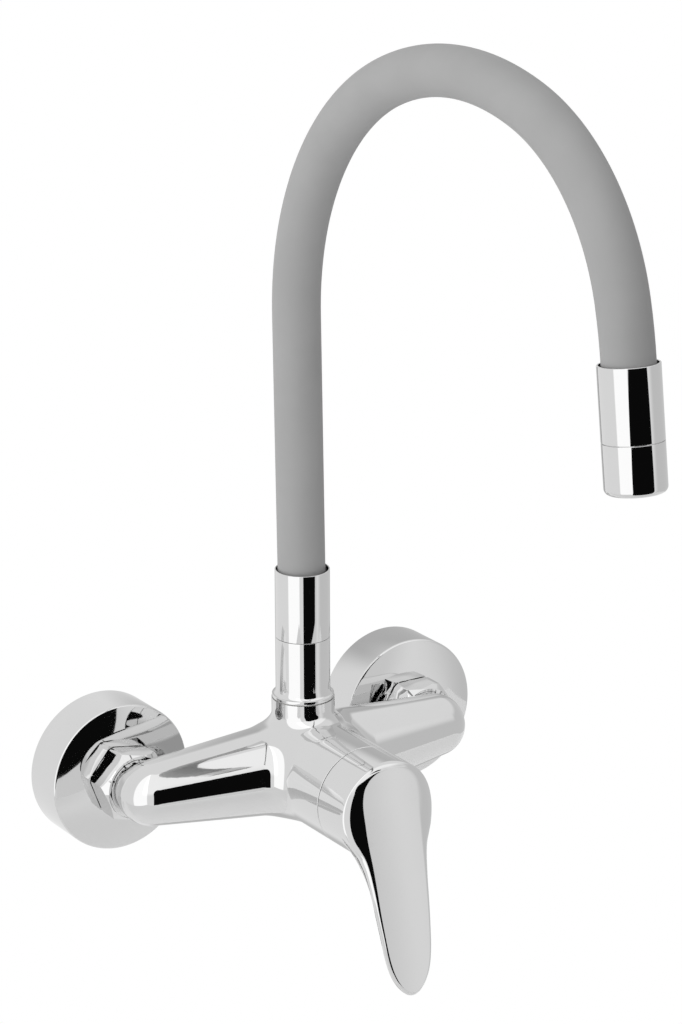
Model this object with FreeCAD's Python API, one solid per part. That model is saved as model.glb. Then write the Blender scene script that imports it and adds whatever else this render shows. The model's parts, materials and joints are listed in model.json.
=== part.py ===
import FreeCAD, Part
import math
import os

from FreeCAD import Placement, Rotation, Vector

os.makedirs("parts", exist_ok=True)

# Flexible kitchen tap: a wall-mounted single-lever mixer with a hose-covered gooseneck spout.
# Millimetres. X runs along the wall, +Y into the wall and +Z up. The origin lies on the wall,
# midway between the two inlets. Lengths named OUT are measured from the wall into the room.

# Clearances
RUN = 0.05                      # radial play of a turning or sliding fit
SEAT = 0.3                      # air between faces that pass or face each other
SLIDE_GAP = 0.02                # lapped faces of the two ceramic discs

# Wall connections
INLET_PITCH = 150.0
PIPE_THREAD_R = 10.478          # G 1/2 in the wall
UNION_THREAD_R = 13.22          # G 3/4 under the union nut
UNION_OFFSET = 8.0              # how far the eccentric stub sits below the body's axis
STUB_LENGTH = 20.0
STUB_BORE_R = 6.5
UNION_BARREL_R = 14.4
UNION_BARREL_BACK = 13.0
UNION_BORE_R = 8.5
UNION_HEX_FLATS = 32.0
UNION_HEX_BEVEL = 0.8
UNION_HEX_LENGTH = 5.0
UNION_THREAD_LENGTH = 8.2
NUT_FLATS = 29.0
NUT_BEVEL = 0.8
NUT_RING_R = 14.1               # front ring left by the nut's wide front bevel
NUT_TURNS = {"left": 50.5, "right": 0.0}                # degrees, as the nuts came tight
GASKET_THICK = 1.4
NIPPLE_FLANGE_R = 12.8
NIPPLE_FLANGE_THICK = 1.0
NIPPLE_SHANK_R = 10.0
NIPPLE_SHANK_LENGTH = 12.0
NIPPLE_HEX_FLATS = 12.0
NUT_WEB_THICK = 1.1
NUT_RECESS_R = 13.9
NUT_RECESS_DEPTH = 0.8

# Rosettes
ROSETTE_R = 32.9
ROSETTE_DEPTH = 20.6
ROSETTE_CROWN = 1.6
ROSETTE_EDGE_R = 0.9
ROSETTE_WALL = 1.3

# Valve body
AXIS_OUT = 49.7                 # distance of the spout's axis from the wall
HOUSING_R = 22.5
ARM_INSET = 1.0                 # how much slimmer the arms start than the housing
ARM_CENTRE_R = HOUSING_R - ARM_INSET
ARM_END_R = 14.15
ELBOW_X = 73.1
ELBOW_OUT = 43.4
INLET_NECK_R = 12.4
SPOT_FACE_R = 19.6              # turned free behind the arms for the union nuts
HOUSING_FRONT = 96.3
HOUSING_EDGE_R = 0.5
BOSS_R = 13.75
BOSS_TOP = 31.4
ARM_FILLET = 7.0
BOSS_FILLET = 4.5
WATERWAY_R = 5.0
WATERWAY_OUT = 43.0
PORT_R = 3.3
PORT_SPREAD = 8.0
INLET_PORT_Z = -4.0
OUTLET_PORT_Z = 9.0

# Cartridge, counted outwards along its axis
CAVITY_FLOOR = 52.0
CARTRIDGE_R = 17.5
BASE_THICK = 5.2
SEAL_THICK = 1.6
SEAL_R = 4.9
PEG_R = 1.6
PEG_LENGTH = 1.8
PEG_SPREAD = 12.5
FIXED_DISC_R = 14.0
MOVING_DISC_R = 10.5
DISC_THICK = 4.0
CARRIER_THICK = 4.4
CARRIER_FLATS = 17.0            # across the flats that the rotor's cheeks turn
CASING_WALL = 2.0
CASING_FRONT_THICK = 3.0
ROTOR_FLANGE_THICK = 4.2
COLLAR_R = 12.3
COLLAR_LENGTH = 7.5
PIVOT_OUT = 76.0
STEM_BALL_R = 2.2
STEM_NECK_R = 1.7
STEM_SQUARE = 7.8
STEM_SQUARE_LENGTH = 9.0
STEM_HUB_R = 4.6
PIN_R = 1.5
NUT_THREAD_R = 19.0
CARTRIDGE_NUT_LENGTH = 8.0
COVER_MOUTH_R = 15.0
COVER_WALL = 1.2
COVER_SKIRT = 4.0
LIFT_MAX = 20.0

# Lever
SKIRT_R = 22.5
SKIRT_WALL = 1.0
SKIRT_DEPTH = 13.2
SKIRT_GAP = 0.5
SKIRT_LIP = 0.6                 # bevel inside the skirt's mouth, free of the housing in the lift
SKIRT_FRONT = 113.0
LEVER_HUB_R = 9.0
LEVER_HUB_BACK = 105.2
LEVER_TIP_Z = -77.0
LEVER_SHOULDER = 8.4            # below the axis, where the paddle's sides leave the round head
LEVER_SIDE = [(16.3, -16.6), (14.3, -27.0), (13.2, -40.0), (12.0, -53.0), (10.6, -63.0), (7.0, -72.0)]
LEVER_HEIGHTS = [24.0, 12.0, 2.0, -8.0, -18.0, -30.0, -45.0, -62.0, -79.0]
LEVER_HALVES = [24.5, 24.5, 24.5, 22.6, 17.6, 15.4, 14.2, 12.9, 11.6]      # half width at each height
LEVER_BACKS = [0.0, 0.0, 0.0, 0.0, 4.0, 11.0, 15.0, 18.7, 21.4]            # from the skirt's front
LEVER_RIMS = [1.8, 1.8, 2.2, 4.6, 10.0, 13.6, 17.1, 20.8, 23.5]
LEVER_PANELS = [3.2, 4.2, 5.6, 7.8, 12.0, 14.8, 17.9, 21.3, 23.8]
PANEL_HALF = 12.0
PANEL_CROWN = 0.7
LEVER_SCREW_R = 2.5
LEVER_SCREW_LENGTH = 5.0
PLUG_R = 3.0

# Spout base and lower sleeve
TAIL_R = 10.0
TAIL_LENGTH = 10.5
SPOUT_FLANGE_R = 13.5
SHOULDER_TOP = 36.6
SLEEVE_R = 11.9
SLEEVE_BORE_R = 11.35
SLEEVE_SEAM = 59.4
SLEEVE_TOP = 89.9
SEAM = 0.15                     # hairline groove between two chrome tubes
SPOUT_BORE_R = 6.0
SPOUT_THREAD_R = 8.6
SLEEVE_FLOOR = 2.0
RING_SECTION = 1.8              # O-ring cord
RING_LAND = 1.0
LOCK_SCREW_R = 2.5
LOCK_SCREW_LENGTH = 3.2
LOCK_TIP_R = 1.3
LOCK_SCREW_DEG = 187.0          # where it sits round the boss
LOCK_GROOVE_DEPTH = 1.2

# Hose: silicone cover, steel gooseneck and water hose on one centreline
HOSE_R = 10.3
HOSE_BORE_R = 8.3
GOOSENECK_R = 8.0
GOOSENECK_BORE_R = 6.0
WATER_HOSE_R = 5.7
WATER_HOSE_BORE_R = 4.0
HOSE_ROOT_Z = 64.0
HOSE_LEAN = 1.34                # degrees towards the wall
RISER_LENGTH = 137.8
ARCH_RADII = [117.3, 136.4, 88.6]
ARCH_DEGREES = [67.55, 40.66, 58.43]
DROP_RADIUS = 179.2
DROP_DEGREES = 7.16
SPIGOT_LENGTH = 9.0

# Outlet
END_SLEEVE_R = 12.0
END_SLEEVE_BORE_R = 11.3
END_SLEEVE_LENGTH = 28.9
END_SLEEVE_OVERLAP = 14.0       # hose hidden in the sleeve
AERATOR_LENGTH = 19.6
AERATOR_EDGE_R = 2.4
AERATOR_MOUTH_R = 8.6
INSERT_R = 9.6
INSERT_LENGTH = 7.0
INSERT_RECESS = 1.2
CELL_R = 1.15
CELL_PITCH = 2.9
FITTING_FLANGE = 3.0            # flange of the outlet fitting under the hose's end
FITTING_NOSE = 6.0              # its nose, counted from the seam
STRAINER_THICK = 1.2

# Stations that follow from the sizes above
UNION_BARREL_FRONT = ROSETTE_DEPTH + ROSETTE_CROWN + SEAT
UNION_END = UNION_BARREL_FRONT + UNION_THREAD_LENGTH
GASKET_FRONT = UNION_END + GASKET_THICK
FLANGE_FRONT = GASKET_FRONT + NIPPLE_FLANGE_THICK
WEB_FRONT = FLANGE_FRONT + RUN + NUT_WEB_THICK
NUT_FRONT = WEB_FRONT + NUT_RECESS_DEPTH
NECK_BACK = WEB_FRONT + SEAT
BASE_FRONT = CAVITY_FLOOR + BASE_THICK
FIXED_FRONT = BASE_FRONT + DISC_THICK
MOVING_BACK = FIXED_FRONT + SLIDE_GAP
MOVING_FRONT = MOVING_BACK + DISC_THICK
BALL_OUT = MOVING_FRONT + SEAT + STEM_BALL_R
ROTOR_BACK = MOVING_FRONT + CARRIER_THICK + SEAT
CASING_INNER_R = CARTRIDGE_R - CASING_WALL
ROTOR_FLANGE_FRONT = ROTOR_BACK + ROTOR_FLANGE_THICK
CASING_FRONT = ROTOR_FLANGE_FRONT + RUN + CASING_FRONT_THICK
ROTOR_FRONT = CASING_FRONT + COLLAR_LENGTH
CARTRIDGE_NUT_BACK = CASING_FRONT
CARTRIDGE_NUT_FRONT = CASING_FRONT + CARTRIDGE_NUT_LENGTH
BORE_FRONT_R = 19.6
SKIRT_BACK = HOUSING_FRONT + SKIRT_GAP
COVER_R = math.hypot(HOUSING_FRONT - PIVOT_OUT, BORE_FRONT_R - RUN)
BOSS_BORE_BOTTOM = BOSS_TOP - TAIL_LENGTH - SEAT
LOCK_HEIGHT = BOSS_TOP - TAIL_LENGTH / 2
FITTING_SEAT = SLEEVE_SEAM + SLEEVE_FLOOR
LEVER_SCREW_OUT = LEVER_HUB_BACK + LEVER_SCREW_R + 0.4
PORTS = [(-PORT_SPREAD, INLET_PORT_Z), (PORT_SPREAD, INLET_PORT_Z), (0, OUTLET_PORT_Z)]


def outline(start, *steps):
    """Closed face in the XZ plane. A step is a point, or a pair (through, end) for an arc."""
    edges = []
    here = Vector(start[0], 0, start[1])
    for step in steps:
        if isinstance(step[0], tuple):
            through = Vector(step[0][0], 0, step[0][1])
            end = Vector(step[1][0], 0, step[1][1])
            edges.append(Part.Arc(here, through, end).toShape())
        else:
            end = Vector(step[0], 0, step[1])
            edges.append(Part.LineSegment(here, end).toShape())
        here = end
    first = Vector(start[0], 0, start[1])
    if here.distanceToPoint(first) > 1e-6:
        edges.append(Part.LineSegment(here, first).toShape())
    return Part.Face(Part.Wire(edges))


def turned(start, *steps):
    """Solid turned about Z from a profile of (radius, height) points."""
    return outline(start, *steps).revolve(Vector(0, 0, 0), Vector(0, 0, 1), 360)


def ring(inner, outer, low, high):
    return turned((inner, low), (outer, low), (outer, high), (inner, high))


def disc(radius, low, high):
    return Part.makeCylinder(radius, high - low, Vector(0, 0, low))


def round_corner(corner, radius, from_side, to_side):
    """Through point and end of a quarter round at a profile's corner; sides are unit steps."""
    shift = radius * (1 - math.sqrt(0.5))
    through = (corner[0] + shift * (from_side[0] + to_side[0]),
               corner[1] + shift * (from_side[1] + to_side[1]))
    end = (corner[0] + radius * to_side[0], corner[1] + radius * to_side[1])
    return through, end


def outwards(shape, x=0.0, z=0.0):
    """Turns a part built along +Z so that it points out of the wall at (x, z)."""
    return shape.transformed(Placement(Vector(x, 0, z), Rotation(Vector(1, 0, 0), 90)).toMatrix())


def upright(shape):
    """Moves a part built along +Z to the spout's axis."""
    return shape.translated(Vector(0, -AXIS_OUT, 0))


def hexagon(flats, low, high, bevel_low=0.0, bevel_high=0.0, turn=0.0):
    """Hexagon bar along Z with a corner at the given angle, its corners turned off at 45 degrees."""
    corner = flats / math.sqrt(3)
    angles = [math.radians(60 * k + turn) for k in range(7)]
    points = [Vector(corner * math.cos(angle), corner * math.sin(angle), low) for angle in angles]
    bar = Part.Face(Part.makePolygon(points)).extrude(Vector(0, 0, high - low))
    lathe = turned((0, low), (corner - bevel_low, low), (corner + RUN, low + bevel_low + RUN),
                   (corner + RUN, high - bevel_high - RUN), (corner - bevel_high, high), (0, high))
    return bar.common(lathe)


def tube_along(path, outer, inner):
    """Round tube swept along a wire; inner 0 gives a bar."""
    start = path.Edges[0].valueAt(path.Edges[0].FirstParameter)
    heading = path.Edges[0].tangentAt(path.Edges[0].FirstParameter)
    solid = path.makePipeShell([Part.Wire(Part.makeCircle(outer, start, heading))], True, True)
    if not inner:
        return solid
    return solid.cut(path.makePipeShell([Part.Wire(Part.makeCircle(inner, start, heading))], True, True))


def save(name, shape):
    solids = shape.Solids
    if not shape.isValid() or not solids:
        raise ValueError(name + " is not a valid solid")
    (solids[0] if len(solids) == 1 else Part.makeCompound(solids)).exportStep("parts/" + name + ".step")
    size = shape.BoundBox
    print("%-20s %d solids %9.0f mm3  x %.1f %.1f  y %.1f %.1f  z %.1f %.1f" % (
        name, len(solids), shape.Volume, size.XMin, size.XMax, size.YMin, size.YMax, size.ZMin, size.ZMax))


# Wall connections: rosette, eccentric S-union, gasket, union nut and inlet nipple

def s_union():
    """Brass connector: threaded stub in the wall, eccentric barrel, hexagon and G 3/4 thread."""
    stub = disc(PIPE_THREAD_R, -STUB_LENGTH, 2).translated(Vector(0, -UNION_OFFSET, 0))
    stub_circle = Part.Wire(Part.makeCircle(PIPE_THREAD_R, Vector(0, -UNION_OFFSET, 2)))
    barrel_circle = Part.Wire(Part.makeCircle(UNION_BARREL_R, Vector(0, 0, UNION_BARREL_BACK)))
    crank = Part.makeLoft([stub_circle, barrel_circle], True)
    barrel = disc(UNION_BARREL_R, UNION_BARREL_BACK, UNION_BARREL_FRONT)
    nut_part = hexagon(UNION_HEX_FLATS, UNION_BARREL_BACK, UNION_BARREL_BACK + UNION_HEX_LENGTH,
                       UNION_HEX_BEVEL, UNION_HEX_BEVEL)
    spigot = disc(UNION_THREAD_R, UNION_BARREL_FRONT, UNION_END)
    solid = stub.multiFuse([crank, barrel, nut_part, spigot])
    bore_back = disc(STUB_BORE_R, -STUB_LENGTH, 4).translated(Vector(0, -UNION_OFFSET, 0))
    narrow = Part.Wire(Part.makeCircle(STUB_BORE_R, Vector(0, -UNION_OFFSET, 4)))
    wide = Part.Wire(Part.makeCircle(UNION_BORE_R, Vector(0, 0, UNION_BARREL_BACK + 2)))
    bore_crank = Part.makeLoft([narrow, wide], True)
    bore_front = disc(UNION_BORE_R, UNION_BARREL_BACK + 2, UNION_END)
    return solid.cut(bore_back.multiFuse([bore_crank, bore_front]))


def rosette():
    """Deep pressed cup with a slightly crowned front, screwed on the union's barrel."""
    hole = UNION_BARREL_R + RUN
    edge = ROSETTE_EDGE_R
    mid = (ROSETTE_R + hole) / 2
    through, end = round_corner((ROSETTE_R, ROSETTE_DEPTH), edge, (0, -1), (-1, 0))
    crown = ROSETTE_DEPTH + ROSETTE_CROWN
    inner = ROSETTE_R - ROSETTE_WALL
    return turned((ROSETTE_R, 0), (ROSETTE_R, ROSETTE_DEPTH - edge), (through, end),
                  ((mid, ROSETTE_DEPTH + 0.72 * ROSETTE_CROWN), (hole, crown)),
                  (hole, crown - ROSETTE_WALL - ROSETTE_CROWN), (inner, ROSETTE_DEPTH - ROSETTE_WALL), (inner, 0))


def union_nut(turn):
    """Hexagon nut: G 3/4 thread from the wall side, web that pulls the nipple's flange, front recess."""
    back = UNION_BARREL_FRONT + SEAT
    bar = hexagon(NUT_FLATS, back, NUT_FRONT, NUT_BEVEL, NUT_FLATS / math.sqrt(3) - NUT_RING_R, turn)
    bore = turned((0, back), (UNION_THREAD_R + RUN, back), (UNION_THREAD_R + RUN, FLANGE_FRONT + RUN),
                  (NIPPLE_SHANK_R + SEAT, FLANGE_FRONT + RUN), (NIPPLE_SHANK_R + SEAT, WEB_FRONT),
                  (NUT_RECESS_R, WEB_FRONT), (NUT_RECESS_R, NUT_FRONT), (0, NUT_FRONT))
    return bar.cut(bore)


def inlet_nipple():
    """Brass insert screwed in the body's inlet by its inner hexagon; its flange holds the nut."""
    end = FLANGE_FRONT + NIPPLE_SHANK_LENGTH
    shank = turned((0, GASKET_FRONT), (NIPPLE_FLANGE_R, GASKET_FRONT), (NIPPLE_FLANGE_R, FLANGE_FRONT),
                   (NIPPLE_SHANK_R, FLANGE_FRONT), (NIPPLE_SHANK_R, end), (0, end))
    return shank.cut(hexagon(NIPPLE_HEX_FLATS, GASKET_FRONT - 1, end + 1))


def wall_connection(side, x):
    save(side + "_s_union", outwards(s_union(), x))
    save(side + "_rosette", outwards(rosette(), x))
    save(side + "_union_gasket", outwards(ring(UNION_BORE_R, NIPPLE_FLANGE_R, UNION_END, GASKET_FRONT), x))
    save(side + "_union_nut", outwards(union_nut(NUT_TURNS[side]), x))
    save(side + "_inlet_nipple", outwards(inlet_nipple(), x))


# Valve body

def arm(side):
    """Tapered arm with its rounded elbow end, turned about the line from the hub to the elbow."""
    run_x = ELBOW_X
    run_out = ELBOW_OUT - AXIS_OUT
    length = math.hypot(run_x, run_out)
    slope = math.acos(ARM_END_R / math.hypot(ARM_CENTRE_R, length)) - math.atan2(length, ARM_CENTRE_R)
    touch = (ARM_END_R * math.cos(slope), length + ARM_END_R * math.sin(slope))
    half = (math.pi / 2 + slope) / 2
    through = (ARM_END_R * math.sin(half), length + ARM_END_R * math.cos(half))
    solid = turned((0, 0), (ARM_CENTRE_R, 0), touch, (through, (0, length + ARM_END_R)))
    heading = Vector(side * run_x, -run_out, 0)
    turn = Rotation(Vector(0, 0, 1), heading)
    return solid.transformed(Placement(Vector(0, -AXIS_OUT, 0), turn).toMatrix())


def housing():
    """Cartridge housing with a round back, turned about the lever's axis."""
    back = AXIS_OUT - HOUSING_R
    shoulder = HOUSING_R * math.sqrt(0.5)
    through, end = round_corner((HOUSING_R, HOUSING_FRONT), HOUSING_EDGE_R, (0, -1), (-1, 0))
    return outwards(turned((0, back), ((shoulder, AXIS_OUT - shoulder), (HOUSING_R, AXIS_OUT)),
                           (HOUSING_R, HOUSING_FRONT - HOUSING_EDGE_R), (through, end), (0, HOUSING_FRONT)))


def on_housing(point):
    """How far a point lies off the housing's outside."""
    out = -point.y
    reach = Vector(point.x, min(out, AXIS_OUT) - AXIS_OUT, point.z).Length
    return abs(reach - HOUSING_R)


def on_boss(point):
    return abs(math.hypot(point.x, point.y + AXIS_OUT) - BOSS_R)


def edges_where(shape, test):
    """Edges whose points all pass a test."""
    found = []
    for edge in shape.Edges:
        low, high = edge.ParameterRange
        if all(test(edge.valueAt(low + (high - low) * share)) for share in (0.1, 0.35, 0.6, 0.85)):
            found.append(edge)
    return found


def cast_form():
    """Outside of the casting: housing, two arms, inlet necks and spout boss with their fillets."""
    form = housing().multiFuse([arm(-1), arm(1)])
    form = form.removeSplitter()
    roots = edges_where(form, lambda p: on_housing(p) < 0.02 and abs(p.x) > 5 and -p.y < HOUSING_FRONT - 10)
    form = form.makeFillet(ARM_FILLET, roots)
    form = form.fuse(upright(disc(BOSS_R, 0, BOSS_TOP)))
    roots = edges_where(form, lambda p: on_boss(p) < 0.02 and 5 < p.z < BOSS_TOP - 2)
    form = form.makeFillet(BOSS_FILLET, roots)
    for side in (-1, 1):
        x = side * INLET_PITCH / 2
        form = form.cut(outwards(disc(SPOT_FACE_R, 0, NUT_FRONT + SEAT), x))
        form = form.fuse(outwards(disc(INLET_NECK_R, NECK_BACK, ELBOW_OUT), x))
    return form


def cavity():
    """Cartridge bore, nut thread and the wider mouth for the cap."""
    return outwards(turned((0, CAVITY_FLOOR), (CARTRIDGE_R + RUN, CAVITY_FLOOR),
                           (CARTRIDGE_R + RUN, CARTRIDGE_NUT_BACK - 0.5), (NUT_THREAD_R + RUN, CARTRIDGE_NUT_BACK - 0.5),
                           (NUT_THREAD_R + RUN, CARTRIDGE_NUT_FRONT + 0.5), (BORE_FRONT_R, CARTRIDGE_NUT_FRONT + 0.5),
                           (BORE_FRONT_R, HOUSING_FRONT + 1), (0, HOUSING_FRONT + 1)))


def waterways():
    """Inlet passages from both elbows to the cartridge's ports, and the way up to the spout."""
    cuts = []
    for side in (-1, 1):
        x = side * INLET_PITCH / 2
        cuts.append(outwards(disc(NIPPLE_SHANK_R + RUN, 0, FLANGE_FRONT + NIPPLE_SHANK_LENGTH + RUN), x))
        run = ELBOW_X + 2 - PORT_SPREAD
        across = Part.makeCylinder(WATERWAY_R, run, Vector(side * PORT_SPREAD, -WATERWAY_OUT, INLET_PORT_Z),
                                   Vector(side, 0, 0))
        cuts.append(across)
        cuts.append(outwards(disc(PEG_R + RUN, CAVITY_FLOOR - PEG_LENGTH - SEAT, CAVITY_FLOOR + 1),
                             side * PEG_SPREAD, OUTLET_PORT_Z))
    for x, z in PORTS:
        cuts.append(outwards(disc(PORT_R, WATERWAY_OUT, CAVITY_FLOOR + 1), x, z))
    riser = Part.makeCylinder(PORT_R, BOSS_TOP - OUTLET_PORT_Z, Vector(0, -WATERWAY_OUT, OUTLET_PORT_Z))
    cuts.append(riser)
    cuts.append(upright(disc(TAIL_R + RUN, BOSS_BORE_BOTTOM, BOSS_TOP + 1)))
    return cuts


def lock_screw_place(shape):
    """Puts a part built along +Z on the locking screw's radius, at the height of the tail's groove."""
    turn = Rotation(Vector(0, 0, 1), LOCK_SCREW_DEG).multiply(Rotation(Vector(0, 1, 0), 90))
    return shape.transformed(Placement(Vector(0, -AXIS_OUT, LOCK_HEIGHT), turn).toMatrix())


def valve_body():
    cuts = waterways()
    cuts.append(cavity())
    cuts.append(lock_screw_place(disc(LOCK_SCREW_R + RUN, TAIL_R - 1, BOSS_R + 8)))
    body = cast_form()
    for cut in cuts:
        body = body.cut(cut)
    return body


# Cartridge and its fixing

def cartridge_base():
    """Plastic foot with two locating pegs, three ports and the seats of their seals."""
    foot = disc(CARTRIDGE_R, CAVITY_FLOOR, BASE_FRONT)
    for side in (-1, 1):
        peg = disc(PEG_R, CAVITY_FLOOR - PEG_LENGTH, CAVITY_FLOOR + 1)
        foot = foot.fuse(peg.translated(Vector(side * PEG_SPREAD, OUTLET_PORT_Z, 0)))
    for x, z in PORTS:
        way = disc(PORT_R, CAVITY_FLOOR - 1, BASE_FRONT + 1)
        seat = disc(SEAL_R + RUN, CAVITY_FLOOR - 1, CAVITY_FLOOR + SEAL_THICK)
        foot = foot.cut(way.fuse(seat).translated(Vector(x, z, 0)))
    return outwards(foot)


def cartridge_seals():
    """Three rubber rings between the casting's floor and the base."""
    seal = ring(PORT_R, SEAL_R, CAVITY_FLOOR, CAVITY_FLOOR + SEAL_THICK)
    return outwards(Part.makeCompound([seal.translated(Vector(x, z, 0)) for x, z in PORTS]))


def fixed_disc():
    """Lapped ceramic disc over the ports."""
    plate = disc(FIXED_DISC_R, BASE_FRONT, FIXED_FRONT)
    for x, z in PORTS:
        plate = plate.cut(disc(PORT_R, BASE_FRONT - 1, FIXED_FRONT + 1).translated(Vector(x, z, 0)))
    return outwards(plate)


def moving_disc():
    """Lapped ceramic disc with the mixing chamber in its wall side."""
    plate = disc(MOVING_DISC_R, MOVING_BACK, MOVING_FRONT)
    chamber = disc(0.6 * MOVING_DISC_R, MOVING_BACK - 1, MOVING_BACK + 0.6 * DISC_THICK)
    return outwards(plate.cut(chamber))


def disc_carrier():
    """Plastic plate on the moving disc: a cross slot for the stem's ball and two guided flats."""
    front = MOVING_FRONT + CARRIER_THICK
    plate = disc(MOVING_DISC_R, MOVING_FRONT, front)
    flat = CARRIER_FLATS / 2
    plate = plate.common(Part.makeBox(2 * flat, 4 * MOVING_DISC_R, CARRIER_THICK,
                                      Vector(-flat, -2 * MOVING_DISC_R, MOVING_FRONT)))
    half = STEM_BALL_R + 2 * RUN
    reach = STEM_BALL_R + 1.5
    slot = Part.makeBox(2 * reach, 2 * half, CARRIER_THICK + 1, Vector(-reach, -half, MOVING_FRONT))
    return outwards(plate.cut(slot))


def cartridge_casing():
    """Plastic cup from the base to the collar's hole."""
    front = ROTOR_FLANGE_FRONT + RUN
    return outwards(turned((CASING_INNER_R, BASE_FRONT), (CARTRIDGE_R, BASE_FRONT), (CARTRIDGE_R, CASING_FRONT),
                           (COLLAR_R + RUN, CASING_FRONT), (COLLAR_R + RUN, front), (CASING_INNER_R, front)))


def cross_pin(radius, length):
    """Round bar across the cartridge at the stem's pivot, along X."""
    return Part.makeCylinder(radius, length, Vector(-length / 2, 0, PIVOT_OUT), Vector(1, 0, 0))


def cartridge_rotor():
    """Turning part: cheeks that turn the carrier, flange in the casing, collar through its front,
    slot that the stem tilts in and the pin's hole."""
    rim = CASING_INNER_R - RUN
    body = turned((0, ROTOR_BACK), (rim, ROTOR_BACK), (rim, ROTOR_FLANGE_FRONT),
                  (COLLAR_R, ROTOR_FLANGE_FRONT), (COLLAR_R, ROTOR_FRONT), (0, ROTOR_FRONT))
    cheek_half = CARRIER_FLATS / 2 + RUN
    cheeks = disc(rim, MOVING_FRONT + SEAT, ROTOR_BACK).cut(
        Part.makeBox(2 * cheek_half, 4 * rim, 20, Vector(-cheek_half, -2 * rim, MOVING_FRONT)))
    lift = math.radians(LIFT_MAX)
    half = STEM_HUB_R + SEAT
    up = (STEM_HUB_R + SEAT) / math.cos(lift) + (ROTOR_FRONT - PIVOT_OUT) * math.tan(lift)
    slot = Part.makeBox(2 * half, half + up, 40, Vector(-half, -half, ROTOR_BACK - 5))
    return outwards(body.fuse(cheeks).cut(slot).cut(cross_pin(PIN_R + RUN, 40)))


def stem_pin():
    return outwards(cross_pin(PIN_R, 2 * math.sqrt(COLLAR_R ** 2 - PIN_R ** 2) - 0.1))


def cartridge_stem():
    """Metal stem: ball at the back, eye round the pin, square that carries the lever."""
    ball = Part.makeSphere(STEM_BALL_R, Vector(0, 0, BALL_OUT))
    neck = disc(STEM_NECK_R, BALL_OUT, PIVOT_OUT)
    eye = cross_pin(STEM_HUB_R, 2 * STEM_HUB_R)
    square_end = LEVER_HUB_BACK + STEM_SQUARE_LENGTH - 3
    shank = disc(STEM_HUB_R - 0.4, PIVOT_OUT, LEVER_HUB_BACK - 2)
    half = STEM_SQUARE / 2
    square = Part.makeBox(STEM_SQUARE, STEM_SQUARE, STEM_SQUARE_LENGTH,
                          Vector(-half, -half, square_end - STEM_SQUARE_LENGTH))
    stem = ball.multiFuse([neck, eye, shank, square])
    return outwards(stem.cut(cross_pin(PIN_R + RUN, 40)))


def cartridge_nut():
    """Brass ring nut on the casing's shoulder, driven by four slots in its face."""
    nut = ring(COLLAR_R + 1, NUT_THREAD_R, CARTRIDGE_NUT_BACK, CARTRIDGE_NUT_FRONT)
    for k in range(4):
        slot = Part.makeBox(50, 3.0, 2.5, Vector(0, -1.5, CARTRIDGE_NUT_FRONT - 2.0))
        slot.rotate(Vector(0, 0, 0), Vector(0, 0, 1), 90 * k + 45)
        nut = nut.cut(slot)
    return outwards(nut)


def cartridge_cover():
    """Domed cover pressed in the housing's mouth. The lever's skirt passes over it, so it is
    part of a sphere round the pivot."""
    outer = BORE_FRONT_R - RUN
    inner_r = COVER_R - COVER_WALL
    foot = HOUSING_FRONT - COVER_SKIRT

    def on_sphere(radius, reach):
        return (reach, PIVOT_OUT + math.sqrt(radius ** 2 - reach ** 2))
    lip = on_sphere(COVER_R, COVER_MOUTH_R)
    lip_in = on_sphere(inner_r, COVER_MOUTH_R)
    bend = on_sphere(inner_r, outer - COVER_WALL)
    return outwards(turned((outer, foot), (outer, HOUSING_FRONT), (on_sphere(COVER_R, (outer + COVER_MOUTH_R) / 2), lip),
                           lip_in, (on_sphere(inner_r, (outer - COVER_WALL + COVER_MOUTH_R) / 2), bend),
                           (outer - COVER_WALL, foot)))


# Lever

def lever_outline():
    """Front view of the lever: round head flowing into the paddle, as a face extruded outwards."""
    shoulder = Vector(math.sqrt(SKIRT_R ** 2 - LEVER_SHOULDER ** 2), 0, -LEVER_SHOULDER)
    right = [shoulder] + [Vector(x, 0, z) for x, z in LEVER_SIDE]
    tip = Vector(0, 0, LEVER_TIP_Z)
    left = [Vector(-p.x, 0, p.z) for p in reversed(right)]
    sweep = Part.BSplineCurve()
    start = Vector(-right[0].z, 0, 0) + Vector(0, 0, -right[0].x)
    end = Vector(start.x, 0, -start.z)
    start.x = -start.x
    end.x = -end.x
    sweep.interpolate(Points=right + [tip] + left, InitialTangent=start, FinalTangent=Vector(start.x, 0, -start.z))
    head = Part.Arc(left[-1], Vector(0, 0, SKIRT_R), right[0]).toShape()
    face = Part.Face(Part.Wire([sweep.toShape(), head]))
    return face.extrude(Vector(0, -(SKIRT_FRONT + 40), 0))


def lever_section(z, half, back, edge, panel):
    """Cross-section of the lever at height z: flat back, thin side, hollow flank, crowned panel."""
    def at(x, out):
        return Vector(x, -out, z)
    hollow_x = PANEL_HALF + 0.38 * (half - PANEL_HALF)
    hollow = panel - 0.62 * (panel - edge)
    inner = min(PANEL_HALF, half - 1.0)
    hollow_x = inner + 0.38 * (half - inner)
    edges = [Part.LineSegment(at(-half, back), at(half, back)),
             Part.LineSegment(at(half, back), at(half, edge)),
             Part.Arc(at(half, edge), at(hollow_x, hollow), at(inner, panel)),
             Part.Arc(at(inner, panel), at(0, panel + PANEL_CROWN), at(-inner, panel)),
             Part.Arc(at(-inner, panel), at(-hollow_x, hollow), at(-half, edge)),
             Part.LineSegment(at(-half, edge), at(-half, back))]
    return Part.Wire([edge.toShape() for edge in edges])


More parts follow.
